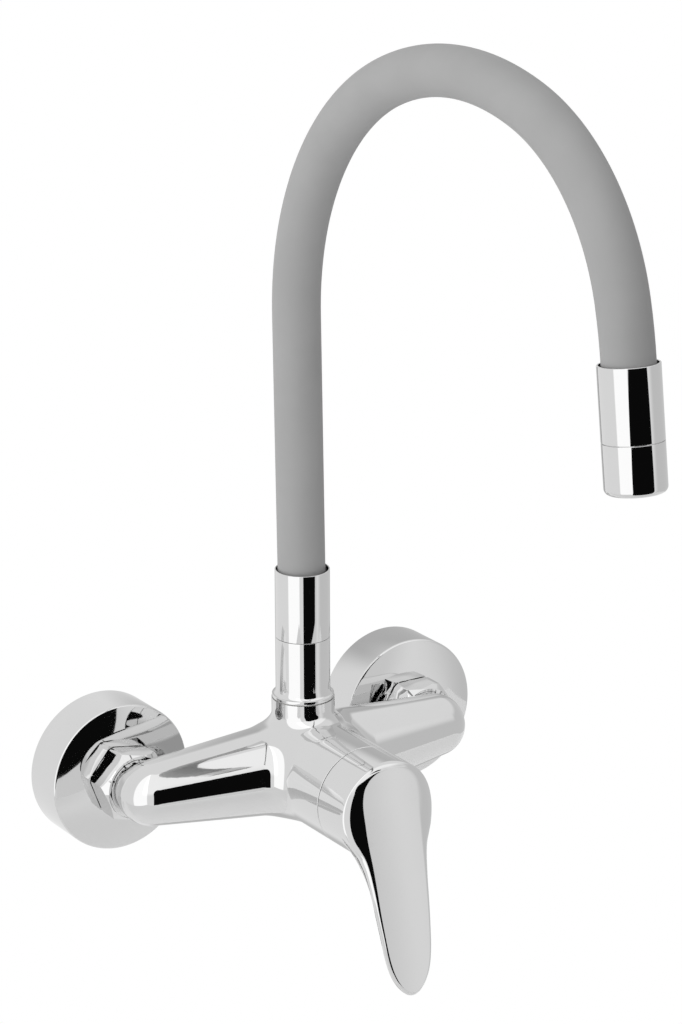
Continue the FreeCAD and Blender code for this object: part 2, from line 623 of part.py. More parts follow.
def lever():
    """Zinc casting: skirt over the cap, panel and paddle, hub with the stem's square and screw."""
    sections = [lever_section(z, half, SKIRT_FRONT + rear, SKIRT_FRONT + rim, SKIRT_FRONT + panel)
                for z, half, rear, rim, panel in zip(LEVER_HEIGHTS, LEVER_HALVES, LEVER_BACKS, LEVER_RIMS, LEVER_PANELS)]
    form = Part.makeLoft(sections, True, False)
    form = form.common(lever_outline())
    skirt = outwards(disc(SKIRT_R, SKIRT_BACK, SKIRT_FRONT))
    inner = SKIRT_R - SKIRT_WALL
    hollow = outwards(ring(LEVER_HUB_R, inner, SKIRT_BACK - 1, SKIRT_BACK + SKIRT_DEPTH))
    mouth = outwards(turned((0, SKIRT_BACK - 1), (inner + SKIRT_LIP, SKIRT_BACK - 1), (inner + SKIRT_LIP, SKIRT_BACK),
                            (inner, SKIRT_BACK + SKIRT_LIP), (inner, LEVER_HUB_BACK), (0, LEVER_HUB_BACK)))
    half = STEM_SQUARE / 2 + RUN
    depth = STEM_SQUARE_LENGTH - 3 + 0.5 + RUN
    socket = outwards(Part.makeBox(2 * half, 2 * half, depth, Vector(-half, -half, LEVER_HUB_BACK - 0.5)))
    screw_way = Part.makeCylinder(LEVER_SCREW_R + RUN, SKIRT_R, Vector(0, -LEVER_SCREW_OUT, -SKIRT_R))
    plug_way = Part.makeCylinder(PLUG_R + RUN, 6, Vector(0, -LEVER_SCREW_OUT, -SKIRT_R - 2))
    form = form.fuse(skirt)
    for cut in (hollow, mouth, socket, screw_way, plug_way):
        form = form.cut(cut)
    return form


def lever_screw():
    """Grub screw against the stem's square, with a hexagon socket below."""
    low = -STEM_SQUARE / 2 - RUN - LEVER_SCREW_LENGTH
    screw = Part.makeCylinder(LEVER_SCREW_R, LEVER_SCREW_LENGTH, Vector(0, -LEVER_SCREW_OUT, low))
    socket = hexagon(LEVER_SCREW_R, 0, 2.5).translated(Vector(0, -LEVER_SCREW_OUT, low - 0.5))
    return screw.cut(socket)


def screw_plug():
    """Plastic plug in the skirt's screw hole, its face rounded like the skirt."""
    stem = Part.makeCylinder(PLUG_R, 3.5, Vector(0, -LEVER_SCREW_OUT, -SKIRT_R - 1))
    return stem.common(outwards(disc(SKIRT_R - 0.1, SKIRT_BACK, SKIRT_FRONT)))


# Spout base, sleeves and hose

def spout_base():
    """Swivelling foot: tail with two O-ring grooves and the locking groove, concave shoulder, tube."""
    grooves = []
    for height in ring_heights():
        grooves.append(ring(TAIL_R - RING_SECTION, TAIL_R + 1, height, height + RING_SECTION))
    half_lock = LOCK_TIP_R + 0.2
    grooves.append(ring(TAIL_R - LOCK_GROOVE_DEPTH, TAIL_R + 1, LOCK_HEIGHT - half_lock, LOCK_HEIGHT + half_lock))
    flange_low = BOSS_TOP + SEAT
    flange_high = flange_low + 1.6
    sag = ((SLEEVE_R + 0.35, flange_high + 1.3), (SLEEVE_R, SHOULDER_TOP))
    base = turned((SPOUT_BORE_R, BOSS_TOP - TAIL_LENGTH), (TAIL_R, BOSS_TOP - TAIL_LENGTH), (TAIL_R, flange_low),
                  (SPOUT_FLANGE_R, flange_low), (SPOUT_FLANGE_R, flange_high), sag,
                  (SLEEVE_R, SLEEVE_SEAM - SEAM), (SPOUT_THREAD_R, SLEEVE_SEAM - SEAM),
                  (SPOUT_THREAD_R, FITTING_SEAT), (SPOUT_BORE_R, FITTING_SEAT))
    for groove in grooves:
        base = base.cut(groove)
    return upright(base)


def ring_heights():
    """Lower edges of the two O-ring grooves in the tail."""
    return (BOSS_TOP - TAIL_LENGTH + RING_LAND, BOSS_TOP - RING_LAND - RING_SECTION)


def spout_o_rings():
    """Two rubber rings squeezed in the tail's grooves."""
    rings = [ring(TAIL_R - RING_SECTION, TAIL_R, height + 0.1, height + RING_SECTION - 0.1)
             for height in ring_heights()]
    return upright(Part.makeCompound(rings))


def spout_washer():
    """Thin slide washer that the flange turns on."""
    return upright(ring(TAIL_R + RUN, SPOUT_FLANGE_R - 0.4, BOSS_TOP + RUN, BOSS_TOP + SEAT))


def spout_lock_screw():
    """Grub screw whose tip runs in the tail's groove."""
    end = BOSS_R - 0.35
    thread = disc(LOCK_SCREW_R, end - LOCK_SCREW_LENGTH, end)
    tip = disc(LOCK_TIP_R, TAIL_R - LOCK_GROOVE_DEPTH + 0.2, end - LOCK_SCREW_LENGTH)
    return lock_screw_place(thread.fuse(tip).cut(hexagon(LOCK_SCREW_R, end - 1.8, end + 1)))


def hose_sleeve():
    """Chrome sleeve screwed on the spout base, open above around the hose."""
    rim = 0.25
    hole = SPOUT_THREAD_R + RUN
    return upright(turned((hole, SLEEVE_SEAM), (SLEEVE_R, SLEEVE_SEAM), (SLEEVE_R, SLEEVE_TOP - rim),
                          (SLEEVE_R - rim, SLEEVE_TOP), (SLEEVE_BORE_R, SLEEVE_TOP), (SLEEVE_BORE_R, FITTING_SEAT),
                          (hole, FITTING_SEAT)))


def lean_direction():
    lean = math.radians(HOSE_LEAN)
    return Vector(0, math.sin(lean), math.cos(lean))


def bend_on(start, heading, radius, degrees):
    """Arc in the YZ plane that turns away from the wall; gives its edge, end and new heading."""
    centre = start + Vector(0, -heading.z, heading.y) * radius
    axis = Vector(1, 0, 0)
    arm_vector = start - centre
    half = Rotation(axis, degrees / 2).multVec(arm_vector) + centre
    end = Rotation(axis, degrees).multVec(arm_vector) + centre
    return Part.Arc(start, half, end).toShape(), end, Rotation(axis, degrees).multVec(heading)


def hose_route():
    """Centreline wires of the riser, the arch and the drop, with the drop's end and heading."""
    heading = lean_direction()
    root = Vector(0, -AXIS_OUT, HOSE_ROOT_Z)
    here = root + heading * RISER_LENGTH
    riser = Part.Wire([Part.LineSegment(root, here).toShape()])
    arch_edges = []
    for radius, degrees in zip(ARCH_RADII, ARCH_DEGREES):
        edge, here, heading = bend_on(here, heading, radius, degrees)
        arch_edges.append(edge)
    drop_edge, here, heading = bend_on(here, heading, DROP_RADIUS, DROP_DEGREES)
    end = here + heading * END_SLEEVE_OVERLAP
    drop = Part.Wire([drop_edge, Part.LineSegment(here, end).toShape()])
    return riser, Part.Wire(arch_edges), drop, here, heading


def along_hose(shape, origin, heading):
    """Places a part built along +Z at a point of the hose."""
    return shape.transformed(Placement(origin, Rotation(Vector(0, 0, 1), heading)).toMatrix())


def hose_stretches(riser, arch, drop):
    """Silicone cover, gooseneck and water hose of each stretch of the centreline."""
    first = riser.Edges[0]
    core_start = first.valueAt(first.FirstParameter + SPIGOT_LENGTH + SEAT)
    core_riser = Part.Wire([Part.LineSegment(core_start, first.valueAt(first.LastParameter)).toShape()])
    last = drop.Edges[1]
    core_end = last.valueAt(last.LastParameter - SPIGOT_LENGTH - SEAT)
    core_last = Part.LineSegment(last.valueAt(last.FirstParameter), core_end).toShape()
    core_drop = Part.Wire([drop.Edges[0], core_last])
    for name, path, core in (("riser", riser, core_riser), ("arch", arch, arch), ("drop", drop, core_drop)):
        save("hose_" + name, tube_along(path, HOSE_R, HOSE_BORE_R))
        save("gooseneck_" + name, tube_along(core, GOOSENECK_R, GOOSENECK_BORE_R))
        save("water_hose_" + name, tube_along(core, WATER_HOSE_R, WATER_HOSE_BORE_R))
        length = sum(edge.Length for edge in path.Edges)
        print("%-12s length %.1f mm" % (name, length))


def lower_hose_fitting():
    """Brass fitting in the sleeve's floor that carries the hose's lower end on a spigot."""
    plate = upright(disc(SLEEVE_BORE_R - RUN, FITTING_SEAT, HOSE_ROOT_Z - SEAT))
    root = Vector(0, -AXIS_OUT, HOSE_ROOT_Z)
    spigot = along_hose(disc(HOSE_BORE_R - SEAT, -0.8, SPIGOT_LENGTH), root, lean_direction())
    lower_bore = upright(disc(SPOUT_BORE_R, FITTING_SEAT - 1, HOSE_ROOT_Z - 1))
    upper_bore = along_hose(disc(WATER_HOSE_BORE_R, -2, SPIGOT_LENGTH + 1), root, lean_direction())
    return plate.fuse(spigot).cut(lower_bore).cut(upper_bore)


def outlet_fitting():
    """Brass fitting: spigot in the hose's end, flange under it, threaded nose for the aerator."""
    low = END_SLEEVE_OVERLAP
    flange = low + FITTING_FLANGE
    nose = END_SLEEVE_LENGTH + FITTING_NOSE
    return turned((WATER_HOSE_BORE_R, low - SPIGOT_LENGTH), (HOSE_BORE_R - SEAT, low - SPIGOT_LENGTH),
                  (HOSE_BORE_R - SEAT, low + SEAT), (END_SLEEVE_BORE_R - RUN, low + SEAT),
                  (END_SLEEVE_BORE_R - RUN, flange), (INSERT_R, flange), (INSERT_R, nose),
                  (WATER_HOSE_BORE_R, nose))


def end_sleeve():
    """Chrome sleeve over the hose's end, thin at its open rim."""
    rim = 0.25
    return turned((END_SLEEVE_BORE_R, 0), (END_SLEEVE_R - rim, 0), (END_SLEEVE_R, rim),
                  (END_SLEEVE_R, END_SLEEVE_LENGTH - SEAM), (INSERT_R + RUN, END_SLEEVE_LENGTH - SEAM),
                  (INSERT_R + RUN, END_SLEEVE_OVERLAP + FITTING_FLANGE),
                  (END_SLEEVE_BORE_R, END_SLEEVE_OVERLAP + FITTING_FLANGE))


def aerator_ring():
    """Screwed end ring with a rounded lower edge and a mouth for the insert."""
    low = END_SLEEVE_LENGTH + SEAM
    high = END_SLEEVE_LENGTH + AERATOR_LENGTH
    through, end = round_corner((END_SLEEVE_R, high), AERATOR_EDGE_R, (0, -1), (-1, 0))
    floor = high - INSERT_RECESS
    return turned((INSERT_R + RUN, low), (END_SLEEVE_R, low), (END_SLEEVE_R, high - AERATOR_EDGE_R), (through, end),
                  (AERATOR_MOUTH_R, high), (AERATOR_MOUTH_R, floor), (INSERT_R + RUN, floor))


def aerator_insert():
    """Plastic flow former with a honeycomb-like mouth of round cells."""
    front = END_SLEEVE_LENGTH + AERATOR_LENGTH - INSERT_RECESS
    body = disc(INSERT_R, front - INSERT_LENGTH, front)
    cell = disc(CELL_R, front - CELL_PITCH, front + 1)
    for row in range(-2, 3):
        for column in range(-2, 3):
            x = CELL_PITCH * (column + 0.5 * row)
            y = CELL_PITCH * row * math.sqrt(0.75)
            if math.hypot(x, y) < AERATOR_MOUTH_R - 1.5 * CELL_R:
                body = body.cut(cell.translated(Vector(x, y, 0)))
    return body


def aerator_stack(origin, heading):
    """Insert, strainer and washer from the mouth back to the fitting's nose."""
    front = END_SLEEVE_LENGTH + AERATOR_LENGTH - INSERT_RECESS
    insert_back = front - INSERT_LENGTH
    strainer_back = insert_back - STRAINER_THICK
    washer_back = END_SLEEVE_LENGTH + FITTING_NOSE
    save("aerator_insert", along_hose(aerator_insert(), origin, heading))
    save("aerator_strainer", along_hose(disc(INSERT_R, strainer_back, insert_back), origin, heading))
    save("aerator_washer", along_hose(ring(INSERT_R - 3, INSERT_R, washer_back, strainer_back), origin, heading))


for side_name, side_sign in (("left", -1), ("right", 1)):
    wall_connection(side_name, side_sign * INLET_PITCH / 2)

save("valve_body", valve_body())
save("cartridge_base", cartridge_base())
save("cartridge_seals", cartridge_seals())
save("fixed_disc", fixed_disc())
save("moving_disc", moving_disc())
save("disc_carrier", disc_carrier())
save("cartridge_casing", cartridge_casing())
save("cartridge_rotor", cartridge_rotor())
save("stem_pin", stem_pin())
save("cartridge_stem", cartridge_stem())
save("cartridge_nut", cartridge_nut())
save("cartridge_cover", cartridge_cover())
save("lever", lever())
save("lever_screw", lever_screw())
save("screw_plug", screw_plug())

save("spout_base", spout_base())
save("spout_o_rings", spout_o_rings())
save("spout_washer", spout_washer())
save("spout_lock_screw", spout_lock_screw())
save("hose_sleeve", hose_sleeve())
save("lower_hose_fitting", lower_hose_fitting())

riser_path, arch_path, drop_path, sleeve_top, outlet_heading = hose_route()
hose_stretches(riser_path, arch_path, drop_path)
save("outlet_fitting", along_hose(outlet_fitting(), sleeve_top, outlet_heading))
save("end_sleeve", along_hose(end_sleeve(), sleeve_top, outlet_heading))
save("aerator_ring", along_hose(aerator_ring(), sleeve_top, outlet_heading))
aerator_stack(sleeve_top, outlet_heading)
print("end sleeve's top", sleeve_top, "heading", outlet_heading)
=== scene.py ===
import json
import math

import bpy
import numpy as np
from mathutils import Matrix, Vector


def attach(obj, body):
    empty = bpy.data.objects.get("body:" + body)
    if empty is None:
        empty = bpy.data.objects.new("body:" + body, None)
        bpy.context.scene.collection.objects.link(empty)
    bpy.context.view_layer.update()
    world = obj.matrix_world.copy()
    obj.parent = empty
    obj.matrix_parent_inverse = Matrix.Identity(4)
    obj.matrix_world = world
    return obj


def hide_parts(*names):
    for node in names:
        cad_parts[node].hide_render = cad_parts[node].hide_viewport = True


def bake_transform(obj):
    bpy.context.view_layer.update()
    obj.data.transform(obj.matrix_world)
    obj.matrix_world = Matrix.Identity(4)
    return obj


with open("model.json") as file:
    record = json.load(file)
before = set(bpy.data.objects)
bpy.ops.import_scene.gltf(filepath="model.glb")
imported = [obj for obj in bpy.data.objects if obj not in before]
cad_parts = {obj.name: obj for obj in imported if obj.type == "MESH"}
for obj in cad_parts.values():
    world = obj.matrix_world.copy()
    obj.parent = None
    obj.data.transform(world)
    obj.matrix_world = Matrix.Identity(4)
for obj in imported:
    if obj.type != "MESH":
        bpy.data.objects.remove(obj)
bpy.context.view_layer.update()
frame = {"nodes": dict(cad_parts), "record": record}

mm = 0.001


# Photographer's corner
# The tap hangs free in front of plain white. It is seen from the left and a little above, from
# one and a half metres away.

CAMERA_PLACE = (-759.2, -1260.2, 576.7)
CAMERA_TARGET = (13.27, -60.0, 115.64)
CAMERA_ROLL = 0.167
CAMERA_LENS = 123.48
SENSOR_WIDTH = 36
FAR_CLIP = 30

bpy.ops.object.select_all(action="DESELECT")
bpy.ops.object.camera_add(location=Vector(CAMERA_PLACE) * mm)
camera = bpy.context.object
sight = Vector(CAMERA_TARGET) - Vector(CAMERA_PLACE)
camera.rotation_euler = sight.to_track_quat("-Z", "Y").to_euler()
camera.rotation_euler.rotate_axis("Z", math.radians(-CAMERA_ROLL))
camera.data.lens = CAMERA_LENS
camera.data.sensor_width = SENSOR_WIDTH
camera.data.clip_end = FAR_CLIP
bpy.context.scene.camera = camera
bpy.context.scene.view_settings.view_transform = "Standard"


def grey(tone):
    return (tone, tone, tone, 1)


class Socket:
    """One output of a shader node. Plain arithmetic on it adds the Math nodes it needs."""

    def __init__(self, sheet, output):
        self.sheet = sheet
        self.output = output

    def calc(self, operation, *others):
        return self.sheet.node("ShaderNodeMath", {"operation": operation}, self, *others)

    def __add__(self, other):
        return self.calc("ADD", other)

    def __sub__(self, other):
        return self.calc("SUBTRACT", other)

    def __mul__(self, other):
        return self.calc("MULTIPLY", other)

    def __truediv__(self, other):
        return self.calc("DIVIDE", other)

    def __rsub__(self, other):
        return self.sheet.node("ShaderNodeMath", {"operation": "SUBTRACT"}, other, self)

    __radd__ = __add__
    __rmul__ = __mul__

    def above(self, level, soft):
        """0 below the level and 1 above it, over a soft edge of the given width."""
        return self.sheet.node("ShaderNodeMapRange", {"interpolation_type": "SMOOTHSTEP"},
                               Value=self, From_Min=level - soft / 2, From_Max=level + soft / 2)

    def within(self, low, high, soft):
        return self.above(low, soft) * (1 - self.above(high, soft))


class NodeSheet:
    """The node tree of one finish or of the world, filled in from the left."""

    SPACING = 220

    def __init__(self, owner):
        owner.use_nodes = True
        self.tree = owner.node_tree
        self.tree.nodes.clear()

    def node(self, kind, settings=None, *inputs, **named):
        made = self.tree.nodes.new(kind)
        for key, value in (settings or {}).items():
            if key == "stops":
                self.set_stops(made.color_ramp, value)
            else:
                setattr(made, key, value)
        for place, value in list(enumerate(inputs)) + list(named.items()):
            socket = made.inputs[place.replace("_", " ") if isinstance(place, str) else place]
            if isinstance(value, Socket):
                self.tree.links.new(value.output, socket)
            else:
                socket.default_value = value
        made.location = (self.SPACING * len(self.tree.nodes), 0)
        return Socket(self, made.outputs[0]) if made.outputs else None

    def set_stops(self, ramp, stops):
        while len(ramp.elements) < len(stops):
            ramp.elements.new(1.0)
        for element, (place, tone) in zip(ramp.elements, stops):
            element.position = place
            element.color = grey(tone)

    def part(self, socket, name):
        return Socket(self, socket.output.node.outputs[name])


# Studio light
# A white tent with a brighter soft box on the left and light grey walls. The dark room shows
# through the opening in front, where the camera looks in. Its back hangs close behind the tap and
# gets less light towards the right.

# Headings are degrees to the right of straight out from the wall, and heights are degrees above
# the horizon. The last number of each is the width of its soft edge.
TENT_LEVEL = 0.93
LEFT_BOX = (-93, -44, 3)
LEFT_BOX_EXTRA = 0.45
RIGHT_WALL = (41, 150, 20)
RIGHT_WALL_TOP = (26, 16)
RIGHT_WALL_LESS = 0.24
FRONT_STRIP = (6, 29, 10)
FRONT_STRIP_TOP = (30, 20)
FRONT_STRIP_LESS = 0.14
ROOF = (-60, 60, 12)
ROOF_FOOT = (16, 14)
ROOF_EXTRA = 0.25
# what the matt hose gets less of, from the right and from above
DIM_SIDE = (5, 165, 50)
DIM_SIDE_LESS = 0.44
DIM_TOP = (38, 44)
DIM_TOP_LESS = 0.14
FLOOR_HEIGHT = -330.0
FLOOR_SIZE = 1500.0
FLOOR_TONE = 0.5
FLOOR_GLOW = 0.5
OPENING_LEFT = (-261.0, -527.0)
OPENING_RIGHT = (257.0, -706.0)
OPENING_HEIGHT = (-200.0, 300.0)
OPENING_CORNER = 170.0
OPENING_EDGE = 4.0
DARK_ROOM = 0.004
BACK_CLOTH_OUT = -100.0
BACK_CLOTH_SIZE = 520.0
BACK_CLOTH_HEM = (45, 70)
BACK_CLOTH_FADE = (10, 80)
BACK_CLOTH_TONES = (0.93, 0.57)

world = bpy.data.worlds.new("white_studio")
bpy.context.scene.world = world
sheet = NodeSheet(world)
direction = sheet.part(sheet.node("ShaderNodeTexCoord"), "Generated")
split = sheet.node("ShaderNodeSeparateXYZ", None, direction)
x, y, z = (sheet.part(split, axis) for axis in "XYZ")
to_degrees = 180 / math.pi
turn = x.calc("ARCTAN2", y * -1) * to_degrees
rise = z.calc("ARCSINE") * to_degrees
level = TENT_LEVEL + LEFT_BOX_EXTRA * turn.within(*LEFT_BOX)
level = level - RIGHT_WALL_LESS * turn.within(*RIGHT_WALL) * (1 - rise.above(*RIGHT_WALL_TOP))
level = level - FRONT_STRIP_LESS * turn.within(*FRONT_STRIP) * (1 - rise.above(*FRONT_STRIP_TOP))
level = level + ROOF_EXTRA * turn.within(*ROOF) * rise.above(*ROOF_FOOT)
ray = sheet.node("ShaderNodeLightPath")
seen = sheet.part(ray, "Is Camera Ray")
level = level * (1 - seen) + seen
soft = sheet.part(ray, "Is Diffuse Ray")
level = level * (1 - DIM_SIDE_LESS * soft * turn.within(*DIM_SIDE))
level = level * (1 - DIM_TOP_LESS * soft * rise.above(*DIM_TOP))
light = sheet.node("ShaderNodeBackground", None, grey(1), level)
sheet.node("ShaderNodeOutputWorld", None, light)

bpy.ops.mesh.primitive_plane_add(size=FLOOR_SIZE * mm, location=(0, 0, FLOOR_HEIGHT * mm))
floor = bpy.context.object
floor.name = "floor"
paint = bpy.data.materials.new("pale_floor")
sheet = NodeSheet(paint)
matt = sheet.node("ShaderNodeBsdfDiffuse", None, grey(FLOOR_TONE), Roughness=0.5)
glow = sheet.node("ShaderNodeEmission", None, grey(1), FLOOR_GLOW)
lit = sheet.node("ShaderNodeAddShader", None, matt, glow)
white = sheet.node("ShaderNodeEmission", None, grey(1), 1.0)
ray = sheet.node("ShaderNodeLightPath")
mixed = sheet.node("ShaderNodeMixShader", None, sheet.part(ray, "Is Camera Ray"), lit, white)
sheet.node("ShaderNodeOutputMaterial", None, mixed)
floor.data.materials.append(paint)

left, right = Vector(OPENING_LEFT), Vector(OPENING_RIGHT)
low, high = OPENING_HEIGHT
middle = (*(left + right) / 2 * mm, (low + high) / 2 * mm)
facing = (math.pi / 2, 0, math.atan2(*(right - left).yx))
bpy.ops.mesh.primitive_plane_add(size=mm, location=middle, rotation=facing)
opening = bpy.context.object
opening.name = "tent_opening"
width, height = (right - left).length, high - low
opening.scale = (width, height, 1)
paint = bpy.data.materials.new("dark_room")
sheet = NodeSheet(paint)
place = sheet.part(sheet.node("ShaderNodeTexCoord"), "Object")
split = sheet.node("ShaderNodeSeparateXYZ", None, place)
# the two top corners are round: outside their circle the card lets everything through
across = sheet.part(split, "X").calc("ABSOLUTE") * (width / mm) - (width / 2 - OPENING_CORNER)
up = sheet.part(split, "Y") * (height / mm) - (height / 2 - OPENING_CORNER)
across, up = across.calc("MAXIMUM", 0), up.calc("MAXIMUM", 0)
corner = (across * across + up * up).calc("SQRT").above(OPENING_CORNER, OPENING_EDGE)
dark = sheet.node("ShaderNodeEmission", None, grey(DARK_ROOM), 1.0)
clear = sheet.node("ShaderNodeBsdfTransparent")
ray = sheet.node("ShaderNodeLightPath")
unseen = sheet.part(ray, "Is Camera Ray").calc("MAXIMUM", corner)
mixed = sheet.node("ShaderNodeMixShader", None, unseen, dark, clear)
sheet.node("ShaderNodeOutputMaterial", None, mixed)
opening.data.materials.append(paint)

middle = Vector((0, -BACK_CLOTH_OUT, FLOOR_HEIGHT + BACK_CLOTH_SIZE / 2)) * mm
bpy.ops.mesh.primitive_plane_add(size=BACK_CLOTH_SIZE * mm, location=middle,
                                 rotation=(math.pi / 2, 0, 0))
back = bpy.context.object
back.name = "tent_back"
paint = bpy.data.materials.new("tent_cloth")
sheet = NodeSheet(paint)
place = sheet.part(sheet.node("ShaderNodeTexCoord"), "Object")
split = sheet.node("ShaderNodeSeparateXYZ", None, place)
across, up = (sheet.part(split, axis) / mm for axis in "XY")
hem, hem_fade = BACK_CLOTH_HEM
top_edge = up.above(BACK_CLOTH_SIZE / 2 - hem, hem_fade)
bright, dim = BACK_CLOTH_TONES
tone = bright - (bright - dim) * across.above(*BACK_CLOTH_FADE)
cloth = sheet.node("ShaderNodeEmission", None, grey(1), tone)
clear = sheet.node("ShaderNodeBsdfTransparent")
ray = sheet.node("ShaderNodeLightPath")
unseen = sheet.part(ray, "Is Camera Ray").calc("MAXIMUM", sheet.part(ray, "Is Diffuse Ray"))
unseen = unseen.calc("MAXIMUM", top_edge)
mixed = sheet.node("ShaderNodeMixShader", None, unseen, cloth, clear)
sheet.node("ShaderNodeOutputMaterial", None, mixed)
back.data.materials.append(paint)


# Rosettes
# Deep pressed brass cups that hide the holes in the wall. Each has a slightly domed front and is
# screwed on the barrel of its union until its rim meets the tiles.

INLET_X = 75.0
ROSETTE_R = 32.9
ROSETTE_RIM = 20.6
ROSETTE_CROWN = 22.2
ROSETTE_HOLE_R = 14.45
ROSETTE_WALL = 1.3
ROSETTE_EDGE = 0.9
ROSETTE_FACE_INSET = 1.1
ROSETTE_FACE_STEPS = 12
ROSETTE_INNER_DROP = 0.4
ROSETTE_INNER_EDGE = 1.5
CHROME_GREY = 0.7
CHROME_ROUGHNESS = 0.022
ARC_STEP = 9


def chrome():
    """Bright chrome plate: nearly a mirror, with faint wiping marks and a soft waviness."""
    finish = bpy.data.materials.get("polished_chrome")
    if finish:
        return finish
    finish = bpy.data.materials.new("polished_chrome")
    sheet = NodeSheet(finish)
    place = sheet.part(sheet.node("ShaderNodeTexCoord"), "Object")
    wiping = sheet.node("ShaderNodeTexNoise", None, Vector=place, Scale=55.0, Detail=4.0,
                        Roughness=0.6)
    marks = wiping.above(0.62, 0.2)
    roughness = CHROME_ROUGHNESS + 0.02 * wiping + 0.03 * marks
    waves = sheet.node("ShaderNodeTexNoise", None, Vector=place, Scale=160.0, Detail=1.0)
    polish = sheet.node("ShaderNodeBump", None, Strength=0.012, Distance=0.0004, Height=waves)
    stops = [(0.0, CHROME_GREY - 0.01), (1.0, CHROME_GREY + 0.01)]
    tint = sheet.node("ShaderNodeValToRGB", {"stops": stops}, wiping)
    metal = sheet.node("ShaderNodeBsdfPrincipled", None, Base_Color=tint, Metallic=1.0,
                       Roughness=roughness, Normal=polish)
    sheet.node("ShaderNodeOutputMaterial", None, metal)
    return finish


def rounded(*corners):
    """Profile points; a corner (radius, height, r) with r above 0 becomes an arc of that radius."""
    points = []
    count = len(corners)
    for k, corner in enumerate(corners):
        here = Vector(corner[:2])
        radius = corner[2] if len(corner) > 2 else 0
        if not radius:
            points.append(tuple(here))
            continue
        back = (Vector(corners[k - 1][:2]) - here).normalized()
        ahead = (Vector(corners[(k + 1) % count][:2]) - here).normalized()
        opening = back.angle(ahead)
        reach = radius / math.tan(opening / 2)
        centre = here + (back + ahead).normalized() * (radius / math.sin(opening / 2))
        start = here + back * reach - centre
        sweep = start.angle_signed(here + ahead * reach - centre)
        steps = max(3, round(abs(math.degrees(sweep)) / ARC_STEP))
        for step in range(steps + 1):
            angle = -sweep * step / steps
            turned_arm = Vector((start.x * math.cos(angle) - start.y * math.sin(angle),
                                 start.x * math.sin(angle) + start.y * math.cos(angle)))
            points.append(tuple(centre + turned_arm))
    return points


def finish_mesh(piece, name, material, sharp=35):
    """Names a new mesh, closes its seams, turns its faces outwards and gives it its material."""
    piece.name = name
    piece.data.name = name
    bpy.ops.object.mode_set(mode="EDIT")
    bpy.ops.mesh.select_all(action="SELECT")
    bpy.ops.mesh.remove_doubles(threshold=1e-6)
    bpy.ops.mesh.normals_make_consistent(inside=False)
    bpy.ops.object.mode_set(mode="OBJECT")
    bpy.ops.object.transform_apply(location=True, rotation=True, scale=True)
    bpy.ops.object.shade_smooth_by_angle(angle=math.radians(sharp))
    piece.data.materials.clear()
    piece.data.materials.append(material)
    return piece


def turned(name, profile, material, centre=(0, 0, 0), outwards=True, steps=128, sharp=35):
    """Turns a closed profile of (radius, distance) points, given in mm, about a line through centre:
    outwards from the wall, or upwards."""
    bpy.ops.object.select_all(action="DESELECT")
    bpy.ops.mesh.primitive_circle_add(vertices=len(profile), radius=0.01)
    piece = bpy.context.object
    start = Vector(centre) * mm
    for vertex, (radius, along) in zip(piece.data.vertices, profile):
        across = (radius, -along, 0) if outwards else (radius, 0, along)
        vertex.co = start + Vector(across) * mm
    bpy.ops.object.mode_set(mode="EDIT")
    bpy.ops.mesh.select_all(action="SELECT")
    axis = (0, -1, 0) if outwards else (0, 0, 1)
    bpy.ops.mesh.spin(steps=steps, angle=2 * math.pi, center=start, axis=axis)
    bpy.ops.object.mode_set(mode="OBJECT")
    return finish_mesh(piece, name, material, sharp)


def rosette(name, x):
    dome = ROSETTE_CROWN - ROSETTE_RIM
    face = []
    face_r = ROSETTE_R - ROSETTE_FACE_INSET
    for step in range(ROSETTE_FACE_STEPS + 1):
        radius = face_r - (face_r - ROSETTE_HOLE_R) * step / ROSETTE_FACE_STEPS
        out = (radius - ROSETTE_HOLE_R) / (ROSETTE_R - ROSETTE_HOLE_R)
        face.append((radius, ROSETTE_CROWN - dome * out ** 2))
    inner = ROSETTE_R - ROSETTE_WALL
    inner_top = ROSETTE_RIM - ROSETTE_WALL - ROSETTE_INNER_DROP
    profile = rounded((ROSETTE_R, 0), (ROSETTE_R, ROSETTE_RIM, ROSETTE_EDGE), *face,
                      (ROSETTE_HOLE_R, ROSETTE_CROWN - 1.5 * ROSETTE_WALL),
                      (inner, inner_top, ROSETTE_INNER_EDGE), (inner, 0))
    cup = turned(name, profile, chrome(), centre=(x, 0, 0), steps=160)
    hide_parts(name)
    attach(cup, "body")


rosette("left_rosette", -INLET_X)
rosette("right_rosette", INLET_X)


# Unions
# Cranked brass connectors, turned and plated. The threaded stub goes into the wall, a hexagon for
# the fitter's key is hidden in the rosette, and the nut is screwed on the thread in front.

UNION_FLATS = 32.0
UNION_HEX = (13.0, 18.0)
UNION_THREAD_R = 13.22
UNION_END = 30.7
UNION_BORE_R = 8.5
BARREL_R = 14.4
BARREL_BACK = 12.0
BARREL_FRONT = 22.5
CRANK_MIDDLE = 7.5
CRANK_LENGTH = 11
STUB_R = 10.478
STUB_BORE_R = 6.5
STUB_DROP = 8.0
STUB_BACK = -20.0
STUB_FRONT = 2.0
THREAD_PITCH = 1.814
THREAD_DEPTH = 1.16
THREAD_LENGTH = 15
THREAD_CREST = (0.75, 1.0)
THREAD_LEAD = 0.4
HEX_BEVEL = 0.8
LATHE_SPARE = 0.4
MACHINED_EDGE = 0.12


def carve(piece, tool, operation):
    """Cuts, joins or intersects a piece with a tool, which is used up."""
    bpy.ops.object.select_all(action="DESELECT")
    bpy.context.view_layer.objects.active = piece
    piece.select_set(True)
    cut = piece.modifiers.new("carve", "BOOLEAN")
    cut.operation = operation
    cut.solver = "EXACT"
    cut.object = tool
    bpy.ops.object.modifier_apply(modifier=cut.name)
    bpy.data.objects.remove(tool)
    return piece


